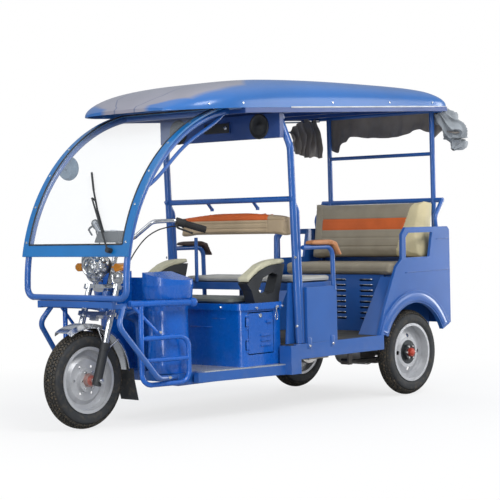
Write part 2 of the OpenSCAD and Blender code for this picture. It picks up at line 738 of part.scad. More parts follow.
driver_seat_t = 28;
module driver_cushion() color(vinyl)
    pad([seat_x - 4, -box_y + 78, seat_lid_z + seat_gap], [seat_back_x - 4, box_y - 78, seat_lid_z + seat_gap + driver_seat_t], 12, 40);

// Moulded armrests beside the driver: outline in x and z
arm_t = 66;
arm_low_z = seat_lid_z + seat_gap;
arm_x = 28;
arm_top = [for (p = [[762, 690], [800, 716], [880, 762], [950, 780], [1058, 786]]) p + [arm_x, 0]];
module arm_outline() polygon(concat(
    [[820 + arm_x, arm_low_z], [796 + arm_x, arm_low_z + 62]], arm_top,
    [[1046 + arm_x, 740], [1010 + arm_x, arm_low_z + 36], [seat_back_x, arm_low_z]]
));
module driver_armrests() color(dark) both_sides() difference() {
    side_plate(box_y - arm_t - 4, box_y - 4) arm_outline();
    translate([arm_x, 0, 0]) side_plate(0, 1000)
        polygon([[850, 652], [886, 716], [960, 742], [1002, 728], [964, 640], [884, 618]]);
}

arm_pad_t = 26;
module armrest_pads() color("#d9d3b4") both_sides() {
    // On the driver's armrests
    side_plate(box_y - arm_t - 8, box_y)
        polygon(concat(
            [for (p = arm_top) p + [0, seat_gap]], [for (i = [len(arm_top) - 1 : -1 : 0]) arm_top[i] + [-4, arm_pad_t]]
        ));
    // On the side panels' rails
    side_plate(side_arm_y - 30, side_arm_y + 30)
        polygon([
            [side_x + 60, arm_z + 13 + seat_gap], [side_end_x - 60, arm_z + 13 + seat_gap], [side_end_x - 30, arm_z + 6],
            [side_end_x + 18, arm_z - 50], [side_end_x + 38, arm_z - 46], [side_end_x - 6, arm_z + 26],
            [side_end_x - 50, arm_z + 38], [side_x + 70, arm_z + 36]
        ]);
}

// Middle frame: the pillars, the rail between them and the bench they carry
strut_y = 170;
mid_back_x = pillar_x + 43;
mid_back_z = 928;
mid_back_top_z = rail_z - 54;
mid_top_z = edge_z(pillar_x - 40) - rail_s - pillar_d / 2 - seat_gap;
module mid_frame() color(blue) {
    both_sides() {
        pipe([
            [pillar_x + 24, pillar_y, floor_z + 1], [pillar_x - 16, pillar_y, pillar_bend_z],
            [pillar_x - 26, pillar_in_y, mid_top_z]
        ], pillar_d, 90);
        // Doubler behind the pillar
        pipe([
            [pillar_x + 48, pillar_y, floor_z + 1], [pillar_x + 24, pillar_y, rail_z - 60], [pillar_x - 22, pillar_y, rail_z + 10]
        ], pillar_d - 6, 60);
    }
    cross_x = pillar_x - 26;
    rod([cross_x, -pillar_in_y - 20, mid_top_z], [cross_x, pillar_in_y + 20, mid_top_z], pillar_d);
    rod([pillar_x - 2, -pillar_y, rail_z], [pillar_x - 2, pillar_y, rail_z], 30);
    both_sides() {
        rod([pillar_x, strut_y, rail_z], [mid_back_x, strut_y, mid_back_top_z + 10], 18);
        rod([mid_back_x, strut_y, mid_back_top_z + 16], [mid_back_x, strut_y, mid_back_top_z + seat_gap], 20);
        rod([mid_back_x, 300, bench_z + seat_gap], [mid_back_x, 300, mid_back_z - seat_gap], 20);
    }
}

bench_y = pillar_y - pillar_d / 2 + 3 - seat_gap;
module bench_frame() color(blue) {
    block([bench_x, -bench_y, bench_z - 40], [bench_x + 30, bench_y, bench_z]);
    block([bench_end_x - 40, -bench_y, bench_z - 40], [bench_end_x - 10, bench_y, bench_z]);
    for (y = [-bench_y, -15, bench_y - 30]) block([bench_x, y, bench_z - 40], [bench_end_x - 10, y + 30, bench_z]);
    both_sides() block([bench_end_x - 40, 200, floor_z], [bench_end_x - 10, 230, bench_z]);
}

mid_back_y = 400;
mid_back_crown = 40;
module mid_backrest() color(vinyl) intersection() {
    pad([mid_back_x - back_t / 2, -mid_back_y, mid_back_z], [mid_back_x + back_t / 2, mid_back_y, mid_back_top_z], 22, 24);
    // Crowned top edge
    crown_r = (mid_back_y * mid_back_y / mid_back_crown + mid_back_crown) / 2;
    translate([mid_back_x, 0, mid_back_top_z + 2 - crown_r]) rotate([0, 90, 0]) cylinder(r = crown_r, h = 2 * back_t, center = true, $fn = 96);
}

mid_cushion_t = 32;
module mid_cushion() color(vinyl)
    pad([bench_x + 16, -pillar_y + 26, bench_z + seat_gap], [bench_end_x, pillar_y - 26, bench_z + seat_gap + mid_cushion_t], 14, 40);

side_arm_y = half_w - panel_t / 2;
// Side panels, the right one lower: side, height of the top
side_rows = [[-1, side_top_z], [1, 575]];
module side_panels() color(blue) for (row = side_rows) mirror([0, row[0] < 0 ? 1 : 0, 0]) {
    side_plate(half_w - panel_t, half_w) polygon([
        [side_x + 28, floor_z + seat_gap], [side_end_x, floor_z + seat_gap], [side_end_x, row[1]], [side_x + 28, row[1]]
    ]);
    // Rail for the armrest
    pipe([
        [side_x + 12.5, side_arm_y, arm_z], [side_end_x - 20, side_arm_y, arm_z], [side_end_x - 14, side_arm_y, row[1] - 20]
    ], 26, 50);
    // Gusset beside the pillar
    side_plate(pillar_y - 34, pillar_y - 24) polygon([
        [seat_back_x + 2, floor_z], [pillar_x + 24, floor_z], [pillar_x + 2, 684], [seat_back_x + 26, 684]
    ]);
}

// Rear body
house_y = 330;
quarter_x = wheelbase - arch_r - 62;
win_x0 = wheelbase - 76;
win_x1 = wheelbase + 150;
win_z0 = 788;
win_z1 = quarter_top_z - 32;
module quarter_outline() difference() {
    polygon([
        [quarter_x + 6, floor_z], [quarter_x + 60, 500], [quarter_x + 130, 640], [quarter_x + 180, 740],
        [win_x0 - 40, 780], [win_x0 - 36, quarter_top_z - 40], [win_x0, quarter_top_z], [body_end - 20, quarter_top_z],
        [body_end, quarter_top_z - 20], [body_end, 396], [body_end - 40, 384],
        [wheelbase, wheel_r], [wheelbase - arch_r - 6, floor_z]
    ]);
    translate([wheelbase, wheel_r]) circle(arch_r, $fn = 96);
    polygon([[win_x0, win_z0], [win_x1, win_z0], [win_x1 + 30, win_z1], [win_x0 + 26, win_z1], [win_x0, win_z1 - 26]]);
}

flare_w = 70;
flare_h = 8;
module quarter_panels() color(blue) both_sides() {
    side_plate(half_w - panel_t - flare_h, half_w - flare_h) quarter_outline();
    // Raised wheel arch
    side_plate(half_w - flare_h - 1, half_w) intersection() {
        quarter_outline();
        translate([wheelbase, wheel_r]) circle(arch_r + flare_w, $fn = 96);
    }
    // Slanted front of the wheel housing
    house_front();
    // Inner side and top of the wheel housing
    side_plate(house_y, house_y + box_t) polygon([
        [quarter_x + 20, floor_z], [rear_seat_x - 26, rear_deck_z - 10], [body_end - 20, rear_deck_z - 10], [body_end - 20, floor_z]
    ]);
    block([rear_seat_x - 30, house_y, rear_deck_z - 22], [body_end - 20, half_w - panel_t, rear_deck_z - 10]);
}

module house_front() {
    slope = [[quarter_x + 16, floor_z], [rear_seat_x - 32, rear_deck_z - 10]];
    side_plate(house_y, half_w - panel_t)
        polygon([slope[0], slope[0] + [14, 0], slope[1] + [14, 0], slope[1]]);
}

// Holes for the number plate
plate_pitch = 120;
plate_hole_d = 7;
plate_z = 460;
module rear_wall() color(blue) {
    difference() {
        block([body_end - 20, -half_w + panel_t + flare_h, 396], [body_end, half_w - panel_t - flare_h, quarter_top_z - 80]);
        block([body_end - 30, -250, 520], [body_end + 10, 250, 700]);
        for (y = [-plate_pitch / 2, plate_pitch / 2])
            translate([body_end - 30, y, plate_z]) rotate([0, 90, 0]) cylinder(d = plate_hole_d, h = 40);
    }
    // Hatch panel in the rear wall
    block([body_end - 16, -246, 524], [body_end - 4, 246, 696]);
    for (y = [-180, 140]) block([body_end - 20, y, 690], [body_end + 4, y + 40, 716]);
}

module rear_seat_box() color(blue) {
    difference() {
        block([rear_seat_x, -house_y + seat_gap, floor_z], [rear_seat_x + box_t, house_y - seat_gap, rear_deck_z]);
        // Louvre slots, in three columns
        for (y = [-200, 0, 200], i = [0 : 7])
            block([rear_seat_x - 1, y - 48, floor_z + 66 + i * 32], [rear_seat_x + box_t + 1, y + 48, floor_z + 76 + i * 32]);
    }
    block([rear_seat_x, -house_y + seat_gap, rear_deck_z - box_t], [body_end - 22, house_y - seat_gap, rear_deck_z]);
    both_sides() block([rear_seat_x + 20, house_y - 20, rear_deck_z - box_t + 2], [body_end - 22, half_w - panel_t - flare_h - 2, rear_deck_z]);
}

module rear_cushion() color(vinyl)
    pad([rear_seat_x - 42, -half_w + 66, rear_deck_z + seat_gap], [body_end - 120, half_w - 66, rear_deck_z + seat_gap + cushion_t], 28, 50);

back_low_z = rear_deck_z + cushion_t + 8;
back_top_z = 1128;
back_lean = 8;
back_tube_d = 26;
back_tube_y = rear_pillar_y + 60;
back_w = 2 * (back_tube_y - back_tube_d / 2 - seat_gap);
back_pad_t = back_t + 42;
module rear_backrest() color(vinyl) translate([body_end - 95.6 - back_pad_t, 0, back_low_z]) rotate([0, back_lean, 0])
    pad([0, -back_w / 2, 0], [back_pad_t, back_w / 2, (back_top_z - back_low_z) / cos(back_lean)], 28, 30);

back_rail_z = 1115;
cross_rail_z = 1389;
rear_pillar_top = edge_z(rear_pillar_x) - rail_s;
module rear_frame() color(blue) {
    both_sides() {
        rod([rear_pillar_x, rear_pillar_y, quarter_top_z - 80 + 0.5], [rear_pillar_x - 6, rear_pillar_y, rear_pillar_top], 30);
        // Side tube of the backrest
        pipe([
            [rear_pillar_x - 20, back_tube_y, rear_deck_z + 2], [rear_pillar_x - 76, back_tube_y, back_rail_z - 100],
            [rear_pillar_x, back_tube_y, back_rail_z]
        ], back_tube_d, 50);
        rod([rear_pillar_x, rear_pillar_y, 900], [rear_pillar_x, half_w - panel_t - flare_h - seat_gap, 900], 20);
    }
    rod([rear_pillar_x, -back_tube_y - 6, back_rail_z], [rear_pillar_x, back_tube_y + 6, back_rail_z], 28);
    rod([rear_pillar_x - 4, -rear_pillar_y, cross_rail_z], [rear_pillar_x - 4, rear_pillar_y, cross_rail_z], 22);
    rail_in_y = rail_mid_y - rail_s / 2 - seat_gap;
    rod([rear_pillar_x - 6, -rail_in_y, rear_pillar_top + 6], [rear_pillar_x - 6, rail_in_y, rear_pillar_top + 6], 24);
}

// Roof: rows of half superellipses, outer and inner
function bow(hw, h, z, n) = [for (i = [0 : n]) let (a = 180 * i / n)
    [-hw * sign(cos(a)) * pow(abs(cos(a)), 2 / roof_power), z + h * pow(max(0, sin(a)), 2 / roof_power)]];
module roof() color(blue) {
    n = roof_seg;
    rows = len(roof_rows);
    outer = [for (r = roof_rows) for (p = bow(r[1], r[3] - r[2], r[2], n)) [r[0], p[0], p[1]]];
    inner = [for (r = roof_rows) for (p = bow(r[1] - roof_t, max(4, r[3] - r[2] - roof_t), r[2], n)) [r[0], p[0], p[1]]];
    m = n + 1;
    count = rows * m;
    skin = [for (k = [0 : rows - 2], i = [0 : n - 1]) let (a = k * m + i) each [
        [a, a + 1, a + m + 1], [a, a + m + 1, a + m],
        [count + a, count + a + m + 1, count + a + 1], [count + a, count + a + m, count + a + m + 1]
    ]];
    ends = [for (i = [0 : n - 1]) let (b = (rows - 1) * m + i) each [
        [i, count + i + 1, i + 1], [i, count + i, count + i + 1],
        [b, b + 1, count + b + 1], [b, count + b + 1, count + b]
    ]];
    rims = [for (k = [0 : rows - 2], e = [0, n]) let (a = k * m + e) each (e == 0 ? [
        [a, a + m, count + a + m], [a, count + a + m, count + a]
    ] : [
        [a, count + a + m, a + m], [a, count + a, count + a + m]
    ])];
    polyhedron(concat(outer, inner), concat(skin, ends, rims), convexity = 6);
}

// Side rails under the roof's edge, and the bows between them
rail_mid_y = 492 - roof_t / 2 - 4;
module roof_frame() color(deep_blue) {
    top = hoop_at(hoop_end_a, hoop_r);
    stations = [top[0] + hoop_d / 2, 800, 1050, 1500, 2050, 2300, 2400, 2450];
    both_sides() for (i = [0 : len(stations) - 2]) {
        a = stations[i];
        b = stations[i + 1];
        side_plate(rail_mid_y - rail_s / 2, rail_mid_y + rail_s / 2) polygon([
            [a, edge_z(a) - rail_s], [b, edge_z(b) - rail_s], [b, edge_z(b)], [a, edge_z(a)]
        ]);
    }
    for (x = [stations[0] + 14, pillar_x - 26, 1560, 2050])
        block([x - 14, -rail_mid_y, edge_z(x - 14) - rail_s], [x + 14, rail_mid_y, edge_z(x - 14) - 4]);
}

console_x = pillar_x - 26 - pillar_d / 2 - seat_gap;
console_low_z = 1448;
speaker_y = 300;
module overhead_console() color(deep_blue) {
    top = edge_z(pillar_x - 40) - rail_s;
    difference() {
        block([console_x - 30, -444, console_low_z], [console_x, 444, top]);
        for (y = [-speaker_y, speaker_y]) translate([console_x - 31, y, (console_low_z + top) / 2])
            rotate([0, 90, 0]) cylinder(d = 116, h = 10);
    }
    // Speakers and radio
    for (y = [-speaker_y, speaker_y]) translate([console_x - 28, y, (console_low_z + top) / 2])
        rotate([0, 90, 0]) cylinder(d = 108, h = 8);
    block([console_x - 40, -94, console_low_z + 40], [console_x - 30, 94, console_low_z + 96]);
}

// Gathered rain curtains: a strip along the rear edge with its bundle at the left corner, and one on the right
module curtains() color("#75746c") {
    front = rear_pillar_x - 6 + 12 + seat_gap;
    behind = rear_pillar_x + 15 + seat_gap;
    block([front, -rear_pillar_y + 16, 1500], [behind + 22, rear_pillar_y - 16, 1640]);
    block([behind, -450, 1500], [behind + 22, 450, 1640]);
    // Corner bundle: x, y, z and radius of its bulges
    hull() for (b = [[2500, -440, 1612, 26], [2500, -400, 1500, 30], [rear_end - 52, -452, 1520, 52], [rear_end - 56, -456, 1442, 38]])
        translate([b[0], b[1], b[2]]) sphere(b[3], $fn = 20);
    hull() for (x = [2120, 2378]) {
        translate([x, 462, edge_z(x) - rail_s - 27]) sphere(26, $fn = 16);
        translate([x, 434, edge_z(x) - rail_s - 150]) sphere(46, $fn = 16);
    }
}

module tail_lamps() color("#a51d1d") both_sides()
    hull() for (z = [600, 690]) translate([body_end, half_w - 90, z]) rotate([0, 90, 0]) cylinder(d = 90, h = 26, $fn = 32);

// Rear axle
module rear_axle() color(dark) wheel_axes(wheelbase, 0) {
    cylinder(d = rear_shaft_d, h = 2 * (half_track + 18), center = true);
    cylinder(d = 64, h = 2 * (half_track - 96), center = true);
    cylinder(d = 150, h = 120, center = true);
    for (s = [-1, 1]) translate([0, 0, s * (half_track - 78)]) cylinder(d = 190, h = 56, center = true);
    // Motor
    translate([-96, 0, 20]) cylinder(d = 150, h = 190);
}

leaf_y = 250;
eye_l = 352;
module leaf_springs() color("#3a3c40") both_sides() {
    low = wheel_r - 32;
    for (i = [0 : 3]) block(
        [wheelbase - eye_l + i * 80, leaf_y - 25, low - 8 * (i + 1)], [wheelbase + eye_l - 40 - i * 80, leaf_y + 25, low - 8 * i - 0.2]
    );
    // Eyes and hangers up to the rail
    for (x = [wheelbase - eye_l, wheelbase + eye_l - 40]) {
        translate([x, leaf_y - 25, low - 4]) rotate([-90, 0, 0]) cylinder(d = 34, h = 50);
        block([x - 16, leaf_y + 27, low - 20], [x + 16, leaf_y + 37, rear_rail_z]);
        block([x - 16, leaf_y + 20, low - 10], [x + 16, leaf_y + 37, low]);
    }
}

module battery_pack() color("#303338")
    block([rear_seat_x + 50, -270, floor_z], [body_end - 60, 270, floor_z + 230]);

vehicle() tyre(0, 0);  // front_tyre
vehicle() front_rim();
vehicle() front_axle();
vehicle() fork_sliders();
vehicle() fork_tubes();
vehicle() front_fender();
vehicle() mud_flap();
vehicle() handlebar();
vehicle() grips();
vehicle() headlamp();
vehicle() indicators();
vehicle() instrument_pod();
vehicle() tyre(wheelbase, -half_track);  // rear_tyre_left
vehicle() tyre(wheelbase, half_track);  // rear_tyre_right
vehicle() rear_rim(-1);  // rear_rim_left
vehicle() rear_rim(1);  // rear_rim_right
vehicle() chassis_frame();
vehicle() side_guards();
vehicle() front_cowl();
vehicle() hoop();
vehicle() windscreen_frame();
vehicle() windscreen();
vehicle() wiper();
vehicle() side_mirror();
vehicle() floor_plates();
vehicle() driver_floor();
vehicle() seat_box();
vehicle() seat_box_door();
vehicle() driver_cushion();
vehicle() driver_armrests();
vehicle() armrest_pads();
vehicle() mid_frame();
vehicle() bench_frame();
vehicle() mid_backrest();
vehicle() mid_cushion();
vehicle() side_panels();
vehicle() quarter_panels();
vehicle() rear_wall();
vehicle() rear_seat_box();
vehicle() rear_cushion();
vehicle() rear_backrest();
vehicle() rear_frame();
vehicle() roof();
vehicle() roof_frame();
vehicle() overhead_console();
vehicle() curtains();
vehicle() tail_lamps();
vehicle() battery_pack();
vehicle() rear_axle();
vehicle() leaf_springs();
vehicle() tow_eye();
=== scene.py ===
import math

import bmesh
import bpy
from mathutils import Matrix, Vector, noise


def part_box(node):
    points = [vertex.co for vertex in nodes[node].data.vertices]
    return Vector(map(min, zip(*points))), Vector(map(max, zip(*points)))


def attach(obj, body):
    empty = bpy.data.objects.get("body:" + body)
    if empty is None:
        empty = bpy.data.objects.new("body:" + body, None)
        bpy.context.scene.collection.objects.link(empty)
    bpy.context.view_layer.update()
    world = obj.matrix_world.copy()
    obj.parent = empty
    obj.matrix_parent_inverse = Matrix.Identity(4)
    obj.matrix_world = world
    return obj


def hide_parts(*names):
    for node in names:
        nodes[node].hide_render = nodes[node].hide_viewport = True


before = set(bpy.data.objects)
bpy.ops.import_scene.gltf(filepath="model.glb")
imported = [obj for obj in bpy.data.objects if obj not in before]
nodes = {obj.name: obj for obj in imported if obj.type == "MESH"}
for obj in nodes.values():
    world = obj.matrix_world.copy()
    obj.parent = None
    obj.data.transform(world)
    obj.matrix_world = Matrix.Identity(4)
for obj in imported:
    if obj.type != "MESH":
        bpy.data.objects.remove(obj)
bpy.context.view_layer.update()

# Places are given as in the part's source: millimetres, x rearwards from the front axle
MID_X = 1178.25


def at(x, y, z):
    return Vector(((x - MID_X) / 1000, y / 1000, z / 1000))


# Places that several pieces share, in millimetres
REAR_AXLE_X = 2106
AXLE_Z = 243.5
HOOP_X = 850
HOOP_Z = 705
HOOP_R = 888


def on_hoop(radius, angle, y):
    """A point of the swept hoop's circle, by its angle up from straight ahead."""
    return at(HOOP_X - radius * math.cos(angle), y, HOOP_Z + radius * math.sin(angle))


def about_axle(x, y, radius, angle):
    """A point round an axle, by its angle up from straight back."""
    return at(x + radius * math.cos(angle), y, AXLE_Z + radius * math.sin(angle))


def rgb(red, green, blue):
    """A colour written as it looks on screen, in linear light."""
    parts = [c / 255 for c in (red, green, blue)]
    return tuple(c / 12.92 if c <= 0.04045 else ((c + 0.055) / 1.055) ** 2.4 for c in parts)


def shade(color, factor):
    return tuple(min(1.0, c * factor) for c in color)


# Material helpers


def new_node(tree, kind, inputs=None, **settings):
    node = tree.nodes.new(kind)
    for key, value in settings.items():
        setattr(node, key, value)
    for key, value in (inputs or {}).items():
        node.inputs[key].default_value = value
    return node


def base_material(name, color, roughness, metallic=0.0, **sockets):
    mat = bpy.data.materials.new(name)
    mat.use_nodes = True
    tree = mat.node_tree
    shader = tree.nodes["Principled BSDF"]
    shader.inputs["Base Color"].default_value = (*color, 1)
    shader.inputs["Roughness"].default_value = roughness
    shader.inputs["Metallic"].default_value = metallic
    for key, value in sockets.items():
        shader.inputs[key.replace("_", " ")].default_value = value
    return mat, tree, shader


def coords(tree, scale=(1, 1, 1), turn=(0, 0, 0)):
    """Object coordinates, stretched and turned."""
    source = new_node(tree, "ShaderNodeTexCoord")
    mapping = new_node(tree, "ShaderNodeMapping", {"Scale": scale, "Rotation": turn})
    tree.links.new(source.outputs["Object"], mapping.inputs["Vector"])
    return mapping.outputs["Vector"]


def noise_value(tree, scale, detail=3.0, stretch=(1, 1, 1)):
    texture = new_node(tree, "ShaderNodeTexNoise", {"Scale": scale, "Detail": detail})
    tree.links.new(coords(tree, stretch), texture.inputs["Vector"])
    return texture.outputs["Fac"]


def texture(tree, kind, inputs, output, turn=(0, 0, 0), **settings):
    """A texture over object coordinates, by the name of its output."""
    node = new_node(tree, "ShaderNodeTex" + kind, inputs, **settings)
    tree.links.new(coords(tree, turn=turn), node.inputs["Vector"])
    return node.outputs[output]


def ramp(tree, value, stops, interpolation="LINEAR"):
    """A colour that follows value: stops are (position, colour)."""
    node = new_node(tree, "ShaderNodeValToRGB")
    node.color_ramp.interpolation = interpolation
    while len(node.color_ramp.elements) < len(stops):
        node.color_ramp.elements.new(1.0)
    for element, (position, color) in zip(node.color_ramp.elements, stops):
        element.position = position
        element.color = (*color, 1)
    tree.links.new(value, node.inputs["Fac"])
    return node.outputs["Color"]


def tone(tree, color, scale, dark, light, detail=3.0):
    """A colour that drifts between a darker and a lighter shade."""
    stops = [(0.3, shade(color, dark)), (0.7, shade(color, light))]
    return ramp(tree, noise_value(tree, scale, detail), stops)


def mix(tree, factor, a, b):
    """Colour a where factor is 0 and b where it is 1; a and b are sockets or colours."""
    node = new_node(tree, "ShaderNodeMix", data_type="RGBA")
    tree.links.new(factor, node.inputs["Factor"])
    for key, value in (("A", a), ("B", b)):
        socket = [s for s in node.inputs if s.name == key and s.type == "RGBA"][0]
        if isinstance(value, tuple):
            socket.default_value = (*value, 1)
        else:
            tree.links.new(value, socket)
    return [s for s in node.outputs if s.type == "RGBA"][0]


def span(tree, value, low, high):
    """0 below low, 1 above high."""
    node = new_node(tree, "ShaderNodeMapRange", {"From Min": low, "From Max": high})
    tree.links.new(value, node.inputs["Value"])
    return node.outputs["Result"]


def math_node(tree, operation, a, b=None):
    node = new_node(tree, "ShaderNodeMath", operation=operation)
    for i, value in enumerate(v for v in (a, b) if v is not None):
        if isinstance(value, (int, float)):
            node.inputs[i].default_value = value
        else:
            tree.links.new(value, node.inputs[i])
    return node.outputs[0]


def axis_value(tree, axis):
    source = new_node(tree, "ShaderNodeTexCoord")
    split = new_node(tree, "ShaderNodeSeparateXYZ")
    tree.links.new(source.outputs["Object"], split.inputs[0])
    return split.outputs[axis]


def bump(tree, shader, height, strength, distance, edge=0.0):
    """Surface relief, with the edges rounded off by the radius edge where that isn't 0."""
    node = new_node(tree, "ShaderNodeBump", {"Strength": strength, "Distance": distance})
    tree.links.new(height, node.inputs["Height"])
    if edge:
        rounded = new_node(tree, "ShaderNodeBevel", {"Radius": edge}, samples=4)
        tree.links.new(rounded.outputs["Normal"], node.inputs["Normal"])
    tree.links.new(node.outputs["Normal"], shader.inputs["Normal"])


def color_link(tree, shader, color):
    tree.links.new(color, shader.inputs["Base Color"])


def rough_link(tree, shader, value, low, high):
    node = new_node(tree, "ShaderNodeMapRange", {"To Min": low, "To Max": high})
    tree.links.new(value, node.inputs["Value"])
    tree.links.new(node.outputs["Result"], shader.inputs["Roughness"])


# Materials


def paint(name, color, roughness=0.32, coat=0.6):
    """Gloss enamel with faint clouding, road dust low down and an orange-peel surface."""
    mat, tree, shader = base_material(name, color, roughness, Coat_Weight=coat, Coat_Roughness=0.08)
    clouds = tone(tree, color, 3.0, 0.88, 1.1)
    low = math_node(tree, "SUBTRACT", 1.0, span(tree, axis_value(tree, 2), 0.12, 0.5))
    dust = math_node(tree, "MULTIPLY", low, span(tree, noise_value(tree, 14.0, 6.0), 0.45, 0.8))
    dust = math_node(tree, "MULTIPLY", dust, 0.16)
    color_link(tree, shader, mix(tree, dust, clouds, rgb(150, 146, 140)))
    rough_link(tree, shader, noise_value(tree, 30.0), roughness - 0.06, roughness + 0.08)
    bump(tree, shader, noise_value(tree, 260.0, 2.0), 0.05, 0.0006, 0.004)
    return mat


def roof_paint(name, color, panel_and_reflection_color):
    """Roof enamel with the pale panel on its front slope and the panel's seams; the panel's pale colour is
    partly its own and partly a painted reflection of the sky.
    """
    mat, tree, shader = base_material(name, color, 0.34, Coat_Weight=0.3, Coat_Roughness=0.12)
    start, end = 330, 1090
    share = span(tree, axis_value(tree, 0), at(start, 0, 0).x, at(end, 0, 0).x)
    widths = [(336, 0.16), (352, 0.215), (430, 0.365), (590, 0.405), (790, 0.395), (950, 0.25), (1070, 0.0)]
    limit = ramp(tree, share, [((x - start) / (end - start), (w, w, w)) for x, w in widths])
    across = math_node(tree, "ABSOLUTE", axis_value(tree, 1))
    inside = span(tree, math_node(tree, "SUBTRACT", limit, across), -0.022, 0.022)
    line = math_node(tree, "MINIMUM", math_node(tree, "MULTIPLY", limit, 0.46), 0.17)
    stripe = math_node(tree, "ABSOLUTE", math_node(tree, "SUBTRACT", across, line))
    seam = math_node(tree, "SUBTRACT", 1.0, span(tree, stripe, 0.002, 0.007))
    seam = math_node(tree, "MULTIPLY", seam, inside)
    clouds = tone(tree, color, 2.0, 0.92, 1.12)
    # The panel's pale colour: partly its own, partly a painted reflection of the sky
    pale = tone(tree, panel_and_reflection_color, 6.0, 0.85, 1.0)
    painted = mix(tree, inside, clouds, pale)
    color_link(tree, shader, mix(tree, seam, painted, rgb(96, 104, 132)))
    rough_link(tree, shader, noise_value(tree, 24.0), 0.26, 0.38)
    bump(tree, shader, math_node(tree, "SUBTRACT", inside, seam), 0.3, 0.002)
    return mat


def metal(name, color, roughness, scale=60.0):
    """Bare or plated metal with faint brushing and smudges."""
    mat, tree, shader = base_material(name, color, roughness, metallic=1.0)
    color_link(tree, shader, tone(tree, color, scale, 0.82, 1.0))
    rough_link(tree, shader, noise_value(tree, scale * 2, 5.0), roughness * 0.7, roughness * 1.5)
    bump(tree, shader, noise_value(tree, scale * 8, 2.0, (1, 1, 6)), 0.04, 0.0004)
    return mat


def wheel_paint(name, cad, rings):
    """Wheel finish by distance from the axle: rings are (radius, colour), from the middle out."""
    mat, tree, shader = base_material(name, rings[-1][1], 0.4, metallic=0.35)
    low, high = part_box(cad)
    source = new_node(tree, "ShaderNodeTexCoord")
    offset = new_node(tree, "ShaderNodeVectorMath", operation="SUBTRACT")
    offset.inputs[1].default_value = (low + high) / 2
    flat = new_node(tree, "ShaderNodeVectorMath", operation="MULTIPLY")
    flat.inputs[1].default_value = (1, 0, 1)
    length = new_node(tree, "ShaderNodeVectorMath", operation="LENGTH")
    tree.links.new(source.outputs["Object"], offset.inputs[0])
    tree.links.new(offset.outputs[0], flat.inputs[0])
    tree.links.new(flat.outputs[0], length.inputs[0])
    reach = rings[-1][0]
    share = math_node(tree, "DIVIDE", length.outputs["Value"], reach)
    starts = [0.0] + [radius / reach for radius, color in rings[:-1]]
    stops = [(start, color) for start, (radius, color) in zip(starts, rings)]
    base = ramp(tree, share, stops, "CONSTANT")
    grime = math_node(tree, "MULTIPLY", span(tree, noise_value(tree, 22.0, 6.0), 0.5, 0.85), 0.35)
    color_link(tree, shader, mix(tree, grime, base, rgb(96, 90, 84)))
    rough_link(tree, shader, noise_value(tree, 60.0), 0.32, 0.5)
    bump(tree, shader, noise_value(tree, 300.0), 0.06, 0.0005)
    return mat


def rubber(name, color, dust, scale=40.0):
    """Black rubber with tan road dust, more of it where dust is high."""
    mat, tree, shader = base_material(name, color, 0.8)
    speckle = math_node(tree, "MULTIPLY", span(tree, noise_value(tree, scale, 6.0), 0.5, 0.72), dust)
    base = tone(tree, color, 8.0, 0.8, 1.25)
    color_link(tree, shader, mix(tree, speckle, base, rgb(128, 112, 88)))
    rough_link(tree, shader, noise_value(tree, 20.0), 0.68, 0.92)
    bump(tree, shader, noise_value(tree, 420.0), 0.15, 0.0006)
    return mat


def plastic(name, color, roughness=0.5):
    """Moulded plastic with a fine grain."""
    mat, tree, shader = base_material(name, color, roughness)
    color_link(tree, shader, tone(tree, color, 12.0, 0.85, 1.15))
    rough_link(tree, shader, noise_value(tree, 90.0), roughness - 0.08, roughness + 0.1)
    grain = texture(tree, "Voronoi", {"Scale": 700.0}, "Distance")
    bump(tree, shader, grain, 0.12, 0.0004)
    return mat


def vinyl(name, color):
    """Upholstery vinyl: leather cells, slow colour change and a dull shine."""
    mat, tree, shader = base_material(name, color, 0.48, Specular_IOR_Level=0.4)
    color_link(tree, shader, ramp(tree, noise_value(tree, 7.0, 5.0), [
        (0.25, shade(color, 0.82)), (0.55, color), (0.8, shade(color, 1.12))
    ]))
    rough_link(tree, shader, noise_value(tree, 40.0), 0.42, 0.6)
    cells = texture(tree, "Voronoi", {"Scale": 420.0}, "Distance")
    crease = math_node(tree, "ADD", cells, noise_value(tree, 55.0, 4.0))
    bump(tree, shader, crease, 0.22, 0.0009)
    return mat


def cloth(name, color):
    """Woven rainproof cloth, threads about 1 mm apart."""
    mat, tree, shader = base_material(name, color, 0.75, Sheen_Weight=0.2)
    weave = {"Scale": 160.0, "Distortion": 0.6}
    weft = texture(tree, "Wave", weave, "Fac")
    warp = texture(tree, "Wave", weave, "Fac", (0, math.pi / 2, 0))
    color_link(tree, shader, tone(tree, color, 9.0, 0.78, 1.15, 5.0))
    bump(tree, shader, math_node(tree, "MULTIPLY", weft, warp), 0.25, 0.0008)
    return mat


def lens(name, color, transmission, ribs=150.0):
    """Ribbed lamp plastic."""
    mat, tree, shader = base_material(
        name, color, 0.12, Transmission_Weight=transmission, IOR=1.45, Coat_Weight=0.7, Coat_Roughness=0.05
    )
    wave = texture(tree, "Wave", {"Scale": ribs}, "Fac")
    color_link(tree, shader, tone(tree, color, 30.0, 0.8, 1.0))
    bump(tree, shader, wave, 0.3, 0.0012)
    return mat


def cut_reflector(name):
    """Faceted reflector seen through a clear lens: cells at many angles, each painted bright in its middle
    and dark at its edges, a painted glint and shade.
    """
    mat, tree, shader = base_material(
        name, (0.8, 0.81, 0.8), 0.16, metallic=0.9, Coat_Weight=1.0, Coat_Roughness=0.03
    )
    cells = texture(tree, "Voronoi", {"Scale": 46.0}, "Distance")
    # Colour by distance from each cell's middle: painted glints bright in the middle, painted shade dark at
    # the edges
    color_link(tree, shader, ramp(tree, cells, [
        (0.0, (0.95, 0.95, 0.93)), (0.45, (0.55, 0.57, 0.57)), (0.8, (0.16, 0.17, 0.18))
    ]))
    bump(tree, shader, cells, 0.9, 0.008)
    return mat


